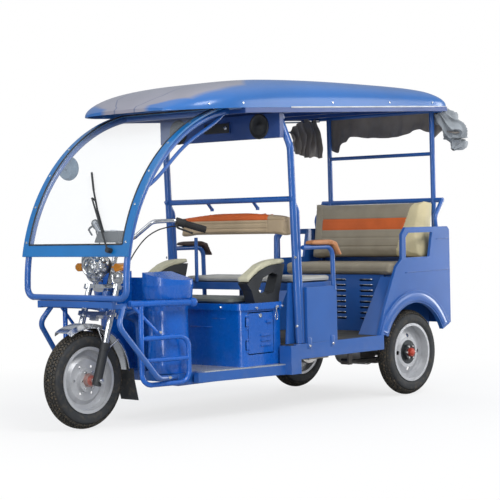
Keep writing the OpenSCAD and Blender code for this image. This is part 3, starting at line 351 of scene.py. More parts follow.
def chequer(name, color):
    """Raised-pattern floor plate."""
    mat, tree, shader = base_material(name, color, 0.4, metallic=0.7)
    marks = []
    for turn in (math.pi / 4, -math.pi / 4):
        wave = texture(tree, "Wave", {"Scale": 11.0}, "Fac", (0, 0, turn), wave_profile="SIN")
        marks.append(span(tree, wave, 0.72, 0.9))
    color_link(tree, shader, tone(tree, color, 15.0, 0.75, 1.0))
    bump(tree, shader, math_node(tree, "MAXIMUM", marks[0], marks[1]), 0.6, 0.0025)
    return mat


def ribbed_mat(name, color):
    """Dusty rubber matting with ribs along the vehicle."""
    mat, tree, shader = base_material(name, color, 0.8)
    wave = texture(tree, "Wave", {"Scale": 26.0}, "Fac", bands_direction="Y")
    dust = math_node(tree, "MULTIPLY", span(tree, noise_value(tree, 10.0, 6.0), 0.45, 0.8), 0.5)
    color_link(tree, shader, mix(tree, dust, color, rgb(116, 108, 92)))
    bump(tree, shader, wave, 0.5, 0.003)
    return mat


def clear_glass(name):
    """Thin clear sheet: mostly seen through, with a gloss."""
    mat, tree, shader = base_material(name, (0.86, 0.92, 0.96), 0.03, Alpha=0.1, Specular_IOR_Level=0.6)
    rough_link(tree, shader, noise_value(tree, 4.0, 6.0), 0.01, 0.06)
    return mat


BLUE = rgb(32, 90, 166)
M = {
    "blue": paint("blue_enamel", BLUE),
    "cowl": paint("cowl_enamel", rgb(2, 92, 186), 0.26, 0.6),
    # Darker copy of the body blue for the roof frame and console under the roof: painted shade
    "frame": paint("painted_shade_frame_enamel", rgb(28, 66, 132), 0.4, 0.35),
    "screen": paint("screen_enamel", rgb(0, 106, 172), 0.36, 0.3),
    # Roof blue with a pale front panel whose colour is partly a painted sky reflection
    "roof": roof_paint("roof_enamel", rgb(42, 104, 174), rgb(152, 150, 162)),
    "chrome": metal("chrome", (0.72, 0.73, 0.74), 0.14),
    "steel": metal("dusty_steel", (0.3, 0.28, 0.26), 0.5),
    "axle": metal("axle_steel", (0.6, 0.58, 0.55), 0.38),
    "bolt": metal("zinc_bolt", (0.75, 0.76, 0.74), 0.22),
    "tyre": rubber("tyre_side", rgb(44, 46, 48), 0.2),
    "tread": rubber("tyre_tread", rgb(46, 45, 42), 0.65, 90.0),
    "flap": rubber("flap_rubber", rgb(46, 48, 50), 0.25),
    "black": plastic("black_plastic", rgb(36, 38, 40)),
    "grip": rubber("grip_rubber", rgb(32, 32, 33), 0.05),
    "amber": lens("amber_lens", rgb(232, 150, 24), 0.35),
    "red": lens("red_lens", rgb(176, 22, 20), 0.25),
    "lamp": cut_reflector("cut_reflector"),
    "glass": clear_glass("windscreen_glass"),
    "mirror": metal("mirror_silver", (0.86, 0.88, 0.9), 0.03, 10.0),
    "shell": plastic("mirror_shell", rgb(92, 118, 138), 0.35),
    "mat": ribbed_mat("floor_mat", rgb(58, 58, 54)),
    "plate": chequer("chequer_plate", rgb(206, 210, 212)),
    "taupe": vinyl("taupe_vinyl", rgb(158, 148, 127)),
    "cream": vinyl("cream_vinyl", rgb(222, 208, 164)),
    "orange": vinyl("orange_vinyl", rgb(218, 104, 44)),
    "tan": vinyl("tan_vinyl", rgb(186, 126, 82)),
    "brown": vinyl("brown_vinyl", rgb(66, 48, 42)),
    "grey": vinyl("grey_vinyl", rgb(104, 108, 100)),
    # Pale vinyl for the bench top: the grey vinyl painted lighter, a painted sky reflection
    "pale": vinyl("pale_vinyl_painted_reflection", rgb(190, 188, 178)),
    "arm": vinyl("arm_vinyl", rgb(196, 192, 164)),
    "curtain": cloth("curtain_cloth", rgb(138, 131, 124)),
    "lining": cloth("curtain_lining", rgb(156, 162, 167)),
    "dial": plastic("dial_face", rgb(214, 218, 220), 0.3),
    "tan_cream": vinyl("tan_cream_vinyl", rgb(186, 164, 132)),
    "cap": plastic("hub_cap_red", rgb(196, 74, 54), 0.4),
}

SILVER = rgb(192, 193, 195)
RIM_RINGS = {
    "front_rim": [(0.024, rgb(196, 112, 100)), (0.034, rgb(172, 140, 134)), (0.2, SILVER)],
    "rear_rim_left": [(0.0235, rgb(186, 62, 44)), (0.068, rgb(52, 56, 58)), (0.2, SILVER)],
    "rear_rim_right": [(0.0235, rgb(186, 62, 44)), (0.068, rgb(52, 56, 58)), (0.2, SILVER)],
}

# Finish of each solid that stays in view
FINISH = {
    "blue": [
        "chassis_frame", "hoop", "mid_frame", "bench_frame", "side_panels", "quarter_panels", "rear_wall",
        "rear_seat_box", "rear_frame", "tow_eye",
    ],
    "cowl": ["front_cowl", "side_guards", "seat_box", "seat_box_door"],
    "frame": ["roof_frame", "overhead_console"],
    "screen": ["windscreen_frame"],
    "chrome": ["front_axle", "fork_tubes", "front_fender", "handlebar"],
    "black": ["fork_sliders", "instrument_pod", "wiper", "driver_armrests", "battery_pack"],
    "grip": ["grips"],
    "flap": ["mud_flap"],
    "amber": ["indicators"],
    "red": ["tail_lamps"],
    "glass": ["windscreen"],
    "shell": ["side_mirror"],
    "mat": ["floor_plates"],
    "plate": ["driver_floor"],
    "steel": ["leaf_springs"],
    "axle": ["rear_axle"],
}


def finish_nodes():
    for key, names in FINISH.items():
        for name in names:
            nodes[name].data.materials.clear()
            nodes[name].data.materials.append(M[key])
    for name, rings in RIM_RINGS.items():
        nodes[name].data.materials.clear()
        nodes[name].data.materials.append(wheel_paint(name + "_finish", name, rings))


# Mesh helpers


def add_object(name, data):
    obj = bpy.data.objects.new(name, data)
    bpy.context.scene.collection.objects.link(obj)
    return obj


def piece(name, verts, faces, materials, body, smooth=True, face_slots=None):
    mesh = bpy.data.meshes.new(name)
    mesh.from_pydata([tuple(v) for v in verts], [], faces)
    mesh.update()
    for key in materials:
        mesh.materials.append(M[key])
    for polygon in mesh.polygons:
        polygon.use_smooth = smooth
        if face_slots:
            polygon.material_index = face_slots[polygon.index]
    obj = add_object(name, mesh)
    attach(obj, body)
    return obj


def grid_faces(rows, columns, wrap_rows=False, wrap_columns=False):
    faces = []
    for i in range(rows if wrap_rows else rows - 1):
        for j in range(columns if wrap_columns else columns - 1):
            a = i * columns + j
            b = i * columns + (j + 1) % columns
            c = ((i + 1) % rows) * columns
            faces.append((a, b, c + (j + 1) % columns, c + j))
    return faces


def closed_faces(rows, around):
    """Faces of a tube of rings, with both ends closed."""
    last = (rows - 1) * around
    ends = [tuple(range(around - 1, -1, -1)), tuple(range(last, last + around))]
    return grid_faces(rows, around, wrap_columns=True) + ends


def angles(count):
    """Angles of even steps round a full turn."""
    return [2 * math.pi * k / count for k in range(count)]


def spoke(side, up, angle, radius):
    return (side * math.cos(angle) + up * math.sin(angle)) * radius


def frame_of(way):
    """Two directions square to way."""
    way = way.normalized()
    side = way.cross(Vector((0, 0, 1)))
    if side.length < 1e-4:
        side = Vector((1, 0, 0))
    side.normalize()
    return side, way.cross(side).normalized()


def tube_mesh(points, radius, sides=10):
    """Vertices and faces of a round tube along points, closed at its ends."""
    verts = []
    count = len(points)
    side = None
    for i, p in enumerate(points):
        way = (points[min(i + 1, count - 1)] - points[max(i - 1, 0)]).normalized()
        if side is None:
            side = frame_of(way)[0]
        side = (side - way * side.dot(way)).normalized()
        up = way.cross(side)
        verts += [p + spoke(side, up, a, radius) for a in angles(sides)]
    return verts, closed_faces(count, sides)


def tubes(name, paths, radius, key, body, sides=10):
    verts = []
    faces = []
    for path in paths:
        v, f = tube_mesh(path, radius, sides)
        faces += [tuple(i + len(verts) for i in face) for face in f]
        verts += v
    return piece(name, verts, faces, [key], body)


def turned(name, centre, way, profile, key, body, segments=32):
    """A turned form: profile is (distance along way, radius), in metres, closed at both ends."""
    way = way.normalized()
    side, up = frame_of(way)
    verts = []
    for distance, radius in profile:
        verts += [centre + way * distance + spoke(side, up, a, radius) for a in angles(segments)]
    return piece(name, verts, closed_faces(len(profile), segments), [key], body)


def bolts(name, places, radius, height, body, sides=6):
    """Bolt heads with chamfered tops: places are (point, direction)."""
    rings = [(0.0, 1.0), (0.72, 1.0), (1.0, 0.78)]
    verts = []
    faces = []
    for point, way in places:
        side, up = frame_of(way)
        start = len(verts)
        for share, wide in rings:
            middle = point + way * (share * height)
            verts += [middle + spoke(side, up, a, radius * wide) for a in angles(sides)]
        faces += [tuple(start + i for i in f) for f in closed_faces(len(rings), sides)]
    return piece(name, verts, faces, ["bolt"], body, smooth=False)


def soft_box(name, low, high, radius, key, body):
    """A box with rounded edges."""
    mesh = bmesh.new()
    bmesh.ops.create_cube(mesh, size=1)
    size = high - low
    for v in mesh.verts:
        v.co = Vector(low[i] + (v.co[i] + 0.5) * size[i] for i in range(3))
    bmesh.ops.bevel(mesh, geom=mesh.edges[:], offset=radius, segments=3, profile=0.5, affect="EDGES")
    verts = [v.co.copy() for v in mesh.verts]
    faces = [tuple(v.index for v in f.verts) for f in mesh.faces]
    mesh.free()
    return piece(name, verts, faces, [key], body)


def catmull(a, b, c, d, t):
    """The Catmull-Rom curve between b and c."""
    bend = (2 * a - 5 * b + 4 * c - d) * t * t + (3 * b - a - 3 * c + d) * t ** 3
    return 0.5 * (2 * b + (c - a) * t + bend)


def smooth_path(points, steps):
    """A curve through given points."""
    ends = [points[0] * 2 - points[1]] + points + [points[-1] * 2 - points[-2]]
    path = []
    for i in range(1, len(ends) - 2):
        path += [catmull(*ends[i - 1:i + 3], k / steps) for k in range(steps)]
    path.append(points[-1])
    return path


# Camera, fitted to the photo's wheels, pillars and rails


def camera():
    data = bpy.data.cameras.new("camera")
    obj = add_object("camera", data)
    focal_px = 1605.5
    picture_px = 500
    data.sensor_width = 36
    data.lens = focal_px / picture_px * data.sensor_width
    yaw, pitch, roll = -0.83121, 0.01712, -0.02146
    back = Vector((math.sin(yaw) * math.cos(pitch), -math.cos(yaw) * math.cos(pitch), math.sin(pitch)))
    right = Vector((math.cos(yaw), math.sin(yaw), 0))
    up = back.cross(right)
    across = right * math.cos(roll) + up * math.sin(roll)
    upright = up * math.cos(roll) - right * math.sin(roll)
    place = Matrix((across, upright, back)).transposed().to_4x4()
    place.translation = at(-5310.16, -5981.39, 1006.17)
    obj.matrix_world = place
    bpy.context.scene.camera = obj


# Cables on the handlebar


def cables():
    routes = {
        "brake_cable_left": (-1, [
            (392, 300, 996), (352, 268, 992), (312, 226, 976), (280, 178, 940), (258, 132, 884),
            (240, 100, 826), (222, 80, 770), (206, 72, 718)
        ]),
        "throttle_cable_right": (1, [
            (392, 300, 996), (346, 262, 1000), (300, 214, 984), (262, 160, 946), (242, 116, 888),
            (228, 90, 828), (214, 78, 770), (206, 72, 718)
        ]),
    }
    radius = 0.0032
    for name, (side, points) in routes.items():
        path = smooth_path([at(x, side * y, z) for x, y, z in points], 8)
        obj = tubes(name, [path], radius, "grip", "steering", 8)


# Tyres: a smooth carcass with tread blocks standing on it

TREAD_HALF = math.radians(58)
TREAD_DEPTH = 0.0055
TREAD_ROWS = 7
TREAD_PITCHES = 76
SHOULDER = math.radians(9)
# Raised rings on the sidewall, in degrees from the tread's middle
SIDE_RINGS = (78, 104, 128)
RING_HEIGHT = 0.0011


def tyre(cad, body):
    low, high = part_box(cad)
    centre = (low + high) / 2
    outer = (high.z - low.z) / 2
    half = (high.y - low.y) / 2
    ring = outer - half
    bead_r = min((v.co - centre).xz.length for v in nodes[cad].data.vertices)
    bead = math.acos((bead_r - ring) / half)

    def point(turn, across, height):
        r = ring + height * math.cos(across)
        return centre + Vector((r * math.cos(turn), height * math.sin(across), r * math.sin(turn)))

    def carcass(across):
        shoulder = max(0.0, min(1.0, (abs(across) - TREAD_HALF) / SHOULDER))
        degrees = math.degrees(abs(across))
        rings = RING_HEIGHT * sum(math.exp(-((degrees - a) / 2.2) ** 2) for a in SIDE_RINGS)
        return half - TREAD_DEPTH * (1 - shoulder) - 0.0012 + rings * shoulder

    section = [bead * (2 * i / 56 - 1) for i in range(57)]
    turns = 120
    verts = []
    for k in range(turns):
        verts += [point(2 * math.pi * k / turns, a, carcass(a)) for a in section]
    faces = grid_faces(turns, len(section), wrap_rows=True, wrap_columns=True)
    slots = [0] * len(faces)
    width = 2 * TREAD_HALF / TREAD_ROWS
    pitch = 2 * math.pi / TREAD_PITCHES
    for k in range(TREAD_PITCHES):
        for row in range(TREAD_ROWS):
            across = -TREAD_HALF + (row + 0.5) * width
            turn = (k + 0.5 * (row % 2)) * pitch
            skew = 0.16 * pitch * (1 if row % 2 else -1)
            start = len(verts)
            for height, grow in ((half - TREAD_DEPTH - 0.003, 1.12), (half - 0.0002, 0.92)):
                for s, t in ((-1, -1), (1, -1), (1, 1), (-1, 1)):
                    a = across + s * 0.41 * width * grow
                    b = turn + t * 0.36 * pitch * grow + s * skew
                    verts.append(point(b, a, height))
            faces += [tuple(start + i for i in f) for f in (
                (4, 5, 6, 7), (0, 1, 5, 4), (1, 2, 6, 5), (2, 3, 7, 6), (3, 0, 4, 7)
            )]
            slots += [1] * 5
    obj = piece("dressed_" + cad, verts, faces, ["tyre", "tread"], body, face_slots=slots)
    for polygon in obj.data.polygons:
        polygon.use_smooth = polygon.material_index == 0
    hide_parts(cad)


# Upholstery: each pad is its solid, drawn in, blown up as cloth and sewn


def solids_of(cad):
    """Vertex lists and faces of the separate solids in a node, in order of their middles."""
    mesh = bmesh.new()
    mesh.from_mesh(nodes[cad].data)
    bmesh.ops.remove_doubles(mesh, verts=mesh.verts[:], dist=1e-5)
    left = set(mesh.verts)
    groups = []
    while left:
        stack = [left.pop()]
        group = set(stack)
        while stack:
            for edge in stack.pop().link_edges:
                for v in edge.verts:
                    if v in left:
                        left.discard(v)
                        group.add(v)
                        stack.append(v)
        groups.append(group)

    def middle(solid):
        verts = solid[0]
        return tuple(round(sum(v[i] for v in verts) / len(verts), 3) for i in range(3))

    result = []
    for group in groups:
        order = sorted(group, key=lambda v: v.index)
        index = {v: i for i, v in enumerate(order)}
        faces = [tuple(index[v] for v in f.verts) for f in mesh.faces if f.verts[0] in index]
        result.append(([v.co.copy() for v in order], faces))
    mesh.free()
    return sorted(result, key=middle)


def evaluated(obj):
    return bpy.data.meshes.new_from_object(obj.evaluated_get(bpy.context.evaluated_depsgraph_get()))


def remeshed(obj, voxel, passes, keys):
    """The object's mesh made even and smoothed, with its materials put back."""
    remesh = obj.modifiers.new("remesh", "REMESH")
    remesh.mode = "VOXEL"
    remesh.voxel_size = voxel
    smooth = obj.modifiers.new("smooth", "SMOOTH")
    smooth.iterations = passes
    mesh = evaluated(obj)
    obj.modifiers.clear()
    obj.data = mesh
    mesh.materials.clear()
    for key in keys:
        mesh.materials.append(M[key])
    return mesh


def blow_up(obj, cap, pressure=4.0, frames=20):
    """Cloth under pressure, each point moved by no more than cap."""
    rest = [v.co.copy() for v in obj.data.vertices]
    modifier = obj.modifiers.new("cloth", "CLOTH")
    settings = modifier.settings
    settings.use_pressure = True
    settings.uniform_pressure_force = pressure
    settings.mass = 0.3
    settings.tension_stiffness = 18
    settings.compression_stiffness = 18
    settings.bending_stiffness = 0.6
    settings.effector_weights.gravity = 0
    scene = bpy.context.scene
    for number in range(1, frames + 1):
        scene.frame_set(number)
    shaped = evaluated(obj)
    moved = [v.co.copy() for v in shaped.vertices]
    obj.modifiers.remove(modifier)
    scene.frame_set(1)
    bpy.data.meshes.remove(shaped)
    for v, a, b in zip(obj.data.vertices, rest, moved):
        step = b - a
        v.co = a + step * min(1.0, cap / max(step.length, 1e-9))


def upholster(name, solid, inset, cap, voxel, keys, replaced, sew=None, choose=None):
    """One pad from a solid: sew moves points along their normals, choose picks the vinyl by place."""
    verts, faces = solid
    obj = piece(name, verts, faces, keys, "chassis")
    mesh = remeshed(obj, voxel, 3, keys)
    limits = [(min(v[i] for v in verts), max(v[i] for v in verts)) for i in range(3)]
    for v in mesh.vertices:
        v.co -= v.normal * inset
    blow_up(obj, cap)
    for v in mesh.vertices:
        v.co = Vector(min(max(v.co[i], limits[i][0]), limits[i][1]) for i in range(3))
    subdivide = obj.modifiers.new("subdivide", "SUBSURF")
    subdivide.levels = subdivide.render_levels = 1
    mesh = evaluated(obj)
    obj.modifiers.clear()
    obj.data = mesh
    if sew:
        normals = [v.normal.copy() for v in mesh.vertices]
        for v, n in zip(mesh.vertices, normals):
            v.co -= n * sew(v.co, n)
    for polygon in mesh.polygons:
        polygon.use_smooth = True
        if choose:
            polygon.material_index = keys.index(choose(polygon.center, polygon.normal))
    if replaced:
        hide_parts(replaced)


def pad(cad, inset, cap, voxel, keys, sew, choose=None):
    """The pad that takes the place of a node with one solid."""
    upholster(cad + "_pad", solids_of(cad)[0], inset, cap, voxel, keys, cad, sew, choose)


def channel(value, line, half_width=0.006, depth=0.0035):
    """Depth of a sewn channel at a distance from its line."""
    gap = abs(value - line) / half_width
    return depth * (1 - gap * gap) ** 2 if gap < 1 else 0.0


def seats():
    # Driver's cushion: one cross seam and a border seam
    low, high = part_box("driver_cushion")
    middle = (low + high) / 2

    def sew_driver(co, n):
        if n.z < 0.5:
            return channel(co.z, high.z - 0.012, 0.004, 0.002)
        edge = min(co.x - low.x, high.x - co.x, co.y - low.y, high.y - co.y)
        return channel(edge, 0.045) + channel(co.y, middle.y)

    pad("driver_cushion", 0.004, 0.008, 0.006, ["grey"], sew_driver)

    # Middle bench: grey vinyl with its top painted pale, a painted reflection of the sky, sewn across in
    # four
    low_b, high_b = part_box("mid_cushion")

    def sew_bench(co, n):
        if n.z < 0.5:
            return channel(co.z, high_b.z - 0.02, 0.004, 0.002)
        return sum(channel(co.y, low_b.y + (high_b.y - low_b.y) * k / 4) for k in (1, 2, 3))

    # The top takes the pale vinyl, a painted reflection on the grey cushion
    def choose_bench(co, n):
        return "pale" if co.z > high_b.z - 0.026 else "grey"

    pad("mid_cushion", 0.004, 0.009, 0.007, ["pale", "grey"], sew_bench, choose_bench)

    # Middle backrest: orange head band, two cross seams, cream near end
    low_m, high_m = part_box("mid_backrest")
    band_z = low_m.z + 0.62 * (high_m.z - low_m.z)
    end_y = low_m.y + 0.17 * (high_m.y - low_m.y)

    def sew_mid(co, n):
        seams = channel(co.z, band_z) + channel(co.y, end_y)
        if co.y > end_y:
            seams += channel(co.z, low_m.z + 0.045) + channel(co.z, low_m.z + 0.072)
        return seams if abs(n.x) > 0.5 else 0.0

    def choose_mid(co, n):
        return "orange" if co.z > band_z and co.y > end_y else "tan_cream"

    pad("mid_backrest", 0.006, 0.010, 0.006, ["tan_cream", "orange"], sew_mid, choose_mid)

    # Rear cushion: a sewn front roll and cross seams
    low_r, high_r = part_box("rear_cushion")

    def sew_rear(co, n):
        if n.z > 0.5:
            return channel(co.x, low_r.x + 0.09) + sum(
                channel(co.y, low_r.y + (high_r.y - low_r.y) * k / 3) for k in (1, 2)
            )
        return channel(co.z, low_r.z + 0.03, 0.004, 0.002) if n.x < -0.5 else 0.0

    pad("rear_cushion", 0.008, 0.016, 0.009, ["taupe"], sew_rear)

    # Rear backrest: taupe with an orange band, sewn lines below it and a cream left end
    low_k, high_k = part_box("rear_backrest")
    seam_right = 0.335

    def seam_left(z):
        """The cream end's seam leans: further out at the top."""
        return -0.34 + 0.335 * (high_k.z - z)

    band = (0.95, 1.014)
    lines = (0.848, 0.9)

    def sew_back(co, n):
        if n.x > -0.3:
            return 0.0
        left = seam_left(co.z)
        seams = channel(co.y, left) + channel(co.y, seam_right)
        if left < co.y < seam_right:
            seams += sum(channel(co.z, z) for z in band + lines)
        return seams

    def choose_back(co, n):
        left = seam_left(co.z)
        if n.x < 0.2 and left < co.y < seam_right and band[0] < co.z < band[1]:
            return "orange"
        return "cream" if co.y < left else "taupe"

    pad("rear_backrest", 0.008, 0.018, 0.009, ["taupe", "orange", "cream"], sew_back,
        choose_back)

    # Armrest pads: two by the driver, two on the side rails
    names = ["driver_pad_left", "driver_pad_right", "side_pad_left", "side_pad_right"]
    keys = ["arm", "arm", "tan", "brown"]
    for i, solid in enumerate(solids_of("armrest_pads")):
        replaced = "armrest_pads" if i == 0 else None
        upholster(names[i], solid, 0.003, 0.005, 0.005, [keys[i]], replaced)


# Rain curtains


def drape(name, point, across, down, keys, replaced=None):
    """A sheet from a function of two shares, each 0 to 1."""
    verts = [Vector(point(i / across, j / down)) for i in range(across + 1) for j in range(down + 1)]
    obj = piece(name, verts, grid_faces(across + 1, down + 1), keys, "chassis")
    if replaced:
        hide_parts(replaced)
    return obj


# Drop of the rear curtain below its rod: distance to the right and drop, in millimetres
REAR_DROP = [
    (446, 150), (374, 212), (290, 150), (236, 120), (100, 134), (-94, 140), (-280, 100), (-340, 120),
    (-376, 160), (-446, 120)
]


def table_value(table, x):
    """Smooth value between the rows of a table that runs downwards in x."""
    for (x0, v0), (x1, v1) in zip(table, table[1:]):
        if x0 >= x >= x1:
            t = (x0 - x) / (x0 - x1)
            return v0 + (v1 - v0) * t * t * (3 - 2 * t)
    return table[-1][1]


def curtains():
    top = at(0, 0, 1640).z

    def rear(u, v):
        y = 0.446 - 0.892 * u
        drop = table_value(REAR_DROP, y * 1000) / 1000
        gather = math.exp(-(u / 0.16) ** 2)
        pleat = (0.006 + 0.012 * gather) * math.sin(34 * u + 46 * gather * u + 2.2 * v)
        fold = pleat + 0.004 * math.sin(71 * u + 1.0)
        belly = 0.016 * math.sin(math.pi * v)
        x = at(2464, 0, 0).x + belly + fold * (0.3 + v)
        return x, y, top - drop * v + 0.004 * noise.noise((9 * u, 3 * v, 1.0))

    drape("rear_curtain", rear, 170, 30, ["curtain"], "curtains")

    def side(u, v):
        wander = 0.16 * noise.noise((2.6 * u, 0.9 * v, 7.0)) + 0.07 * noise.noise((7.0 * u, 1.4 * v, 3.0))
        pleats = 0.5 + 0.5 * math.sin(2 * math.pi * 5.2 * (u + wander))
        uneven = 0.55 + 0.45 * noise.noise((4.2 * u, 1.2 * v, 11.0))
        rise = min(1.0, u / 0.55)
        high = at(0, 0, 1556).z + 0.076 * rise * rise * (3 - 2 * rise)
        low = at(0, 0, 1450).z - 0.050 * math.sin(0.5 * math.pi * min(1.0, u / 0.6))
        x = at(2108, 0, 0).x + 0.286 * u + 0.02 * (u - 0.5) * v
        deep = 0.062 * uneven * (0.35 + 0.65 * math.sin(math.pi * min(1.0, 0.12 + 0.75 * v)))
        y = 0.468 - deep * pleats - 0.022 * v + 0.012 * noise.noise((6 * u, 4 * v, 2.0))
        return x, y, high + (low - high) * v + 0.010 * noise.noise((7 * u, 3 * v, 4.0))

    drape("side_curtain", side, 190, 30, ["curtain"])

    # Corner bundle: a loosely rolled end of the curtain, tied at the pillar
    path = [
        at(2450, -436, 1640), at(2484, -446, 1600), at(2530, -458, 1556), at(2568, -468, 1508),
        at(2572, -470, 1456), at(2540, -462, 1412)
    ]
    radii = [0.036, 0.054, 0.065, 0.066, 0.058, 0.014]
    line = smooth_path(path, 10)

    def bundle(u, v):
        spot = v * (len(line) - 1)
        i = min(int(spot), len(line) - 2)
        centre = line[i].lerp(line[i + 1], spot - i)
        k = v * (len(radii) - 1)
        j = min(int(k), len(radii) - 2)
        t = k - j
        radius = radii[j] + (radii[j + 1] - radii[j]) * t * t * (3 - 2 * t)
        way = (line[i + 1] - line[i]).normalized()
        across, up = frame_of(way)
        a = 2 * math.pi * u
        ridge = 1 - abs(math.sin(3.5 * a + 3.2 * v + 1.4 * noise.noise((math.cos(a), math.sin(a), 3 * v))))
        lump = noise.noise((1.6 * math.cos(a), 1.6 * math.sin(a), 4 * v + 2.0))
        return centre + spoke(across, up, a, radius * (0.74 + 0.4 * ridge ** 3 + 0.34 * lump))

    drape("corner_curtain", bundle, 160, 56, ["lining"])
    knot = []
    for a in angles(32) + [2 * math.pi]:
        loop = Vector((0.05 * math.cos(a), 0.05 * math.sin(a), 0.02 * math.sin(a + 0.6)))
        knot.append(at(2548, -462, 1530) + loop)
    tubes("curtain_tie", [knot], 0.006, "curtain", "chassis")
    rods = [[at(2100, 462, 1610), at(2420, 462, 1626)], [at(2456, 440, 1636), at(2456, -440, 1636)]]
    tubes("curtain_rods", rods, 0.005, "chrome", "chassis")


# Roof: the solid's sections drawn through smoothly along its length

ROOF_WALL = 0.02
ROOF_POWER = 3.2


def bow(half, rise, base, count):
    """A section of the roof, from its right edge over the crown to its left."""
    points = []
    for i in range(count + 1):
        a = math.pi * i / count
        c = math.cos(a)
        y = half * math.copysign(abs(c) ** (2 / ROOF_POWER), c)
        points.append((y, base + rise * max(0.0, math.sin(a)) ** (2 / ROOF_POWER)))
    return points


def roof_skin():
    stations = {}
    for v in nodes["roof"].data.vertices:
        stations.setdefault(round(v.co.x, 3), []).append(v.co)
    rows = []
    for x in sorted(stations):
        points = stations[x]
        rows.append((x, max(p.y for p in points), min(p.z for p in points), max(p.z for p in points)))
    fine = []
    for k in range(len(rows) - 1):
        r0, r1, r2, r3 = (rows[min(max(k + d, 0), len(rows) - 1)] for d in (-1, 0, 1, 2))
        for step in range(4):
            fine.append([catmull(a, b, c, d, step / 4) for a, b, c, d in zip(r0, r1, r2, r3)])
    fine.append(list(rows[-1]))
    count = 64
    around = count + 1
    verts = []
    for less in (0.0, ROOF_WALL):
        for x, half, base, crown in fine:
            rise = max(0.004, crown - base - less)
            verts += [Vector((x, y, z)) for y, z in bow(half - less, rise, base, count)]
    total = len(fine) * around
    faces = grid_faces(len(fine), around)
    faces += [tuple(total + i for i in reversed(f)) for f in grid_faces(len(fine), around)]
    for k in range(len(fine) - 1):
        for edge in (0, count):
            a = k * around + edge
            faces.append((a, a + around, total + a + around, total + a))
    for i in range(count):
        for start in (0, (len(fine) - 1) * around):
            a = start + i
            faces.append((a, a + 1, total + a + 1, total + a))
    obj = piece("roof_skin", verts, faces, ["roof"], "chassis")
    mesh = bmesh.new()
    mesh.from_mesh(obj.data)
    bmesh.ops.recalc_face_normals(mesh, faces=mesh.faces[:])
    for edge in mesh.edges:
        if len(edge.link_faces) == 2 and edge.calc_face_angle(0) > math.radians(40):
            edge.smooth = False
    mesh.to_mesh(obj.data)
    mesh.free()
    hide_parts("roof")


# Lamps, dials and handlebar fittings


def headlamp():
    low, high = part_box("headlamp")
    verts, faces = solids_of("headlamp")[0]
    obj = piece("headlamp_lens", verts, faces, ["lamp", "black"], "steering", smooth=False)
    mesh = remeshed(obj, 0.014, 2, ["lamp", "black"])
    rim_x = low.x + 0.6 * (high.x - low.x)
    for polygon in mesh.polygons:
        polygon.use_smooth = polygon.center.x > rim_x
        polygon.material_index = 1 if polygon.center.x > rim_x else 0
    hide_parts("headlamp")
    # Bulb and bright surround on the front face
    centre = Vector((low.x - 0.0005, 0, at(0, 0, 806).z))
    turned("headlamp_bezel", centre, Vector((-1, 0, 0)), [
        (-0.012, 0.048), (0.001, 0.048), (0.0016, 0.046), (0.0016, 0.041), (-0.006, 0.034),
        (-0.01, 0.018), (-0.01, 0.002)
    ], "chrome", "steering")


def fittings():
    # Dial on the instrument pod
    low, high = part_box("instrument_pod")
    face = Vector(((low.x + high.x) / 2 + 0.002, 0, high.z))
    tilt = Vector((0.15, 0, 1)).normalized()
    for y in (-0.038, 0.038):
        turned("dial_%s" % ("left" if y < 0 else "right"), face + Vector((0, y, -0.0002)), tilt, [
            (-0.004, 0.031), (0.0015, 0.031), (0.0025, 0.029), (0.0015, 0.027), (0.0008, 0.0265),
            (0.0008, 0.001)
        ], "dial", "steering")
    # Horn below the headlamp's left side
    turned("horn", at(168, -84, 742), Vector((-1, -0.25, 0)), [
        (-0.03, 0.008), (-0.028, 0.028), (-0.012, 0.036), (0.0, 0.038), (0.004, 0.036), (0.002, 0.03),
        (0.006, 0.012), (0.007, 0.002)
    ], "chrome", "steering")
    stay = [at(196, -78, 742), at(186, -62, 716), at(176, -52, 700)]
    tubes("horn_stay", [stay], 0.005, "black", "steering")
    # Ribs on the grips
    for side, name in ((-1, "left"), (1, "right")):
        end = at(488.7, side * 386, 976.3)
        way = Vector((0.764, side * 0.57, -0.291)).normalized()
        u, w = frame_of(way)
        rings = []
        for k in range(11):
            centre = end - way * (0.012 + 0.0085 * k)
            rings.append([centre + spoke(u, w, a, 0.0172) for a in angles(24) + [2 * math.pi]])
        tubes("grip_ribs_" + name, rings, 0.0016, "grip", "steering", 6)
    # Mirror glass
    turn = math.radians(12)
    way = Vector((math.cos(turn), math.sin(turn), 0))
    head = on_hoop(HOOP_R, math.radians(41), 366 + 52) + Vector((0.118, 0, 0.023))
    turned("mirror_glass", head + way * 0.0078, way, [
        (-0.002, 0.0625), (0.0008, 0.0625), (0.0012, 0.061), (0.0012, 0.059), (0.0006, 0.0585),
        (0.0006, 0.001)
    ], "mirror", "chassis", 48)
    # Rolled edges of the fender
    edge_r = 259
    bearings = [math.radians(90 - degrees) for degrees in range(-29, 84, 3)]
    edges = [[about_axle(0, y, edge_r, a) for a in bearings] for y in (-59, 59)]
    tubes("fender_edges", edges, 0.0035, "chrome", "steering", 8)


# Console: speakers and radio


def console():
    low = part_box("overhead_console")[0]
    ahead = Vector((-1, 0, 0))
    face_x = low.x + 0.01
    centre_z = at(0, 0, 1512.4).z
    for side, name in ((-1, "left"), (1, "right")):
        turned("speaker_" + name, Vector((face_x, side * 0.3, centre_z)), ahead, [
            (-0.006, 0.066), (0.0, 0.068), (0.005, 0.066), (0.006, 0.06), (0.002, 0.057), (-0.001, 0.05),
            (-0.0015, 0.02), (0.003, 0.014), (0.005, 0.002)
        ], "black", "chassis", 48)
    radio_x = low.x - 0.004
    radio_low = Vector((radio_x, -0.092, at(0, 0, 1490).z))
    radio_high = Vector((low.x + 0.002, 0.092, at(0, 0, 1542).z))
    soft_box("radio_face", radio_low, radio_high, 0.002, "black", "chassis")
    for side, name in ((-1, "left"), (1, "right")):
        turned("radio_knob_" + name, Vector((radio_x, side * 0.072, at(0, 0, 1516).z)), ahead, [
            (0.0, 0.011), (0.007, 0.01), (0.008, 0.008), (0.008, 0.001)
        ], "chrome", "chassis", 20)


# Bolts, rivets, hasps and trim


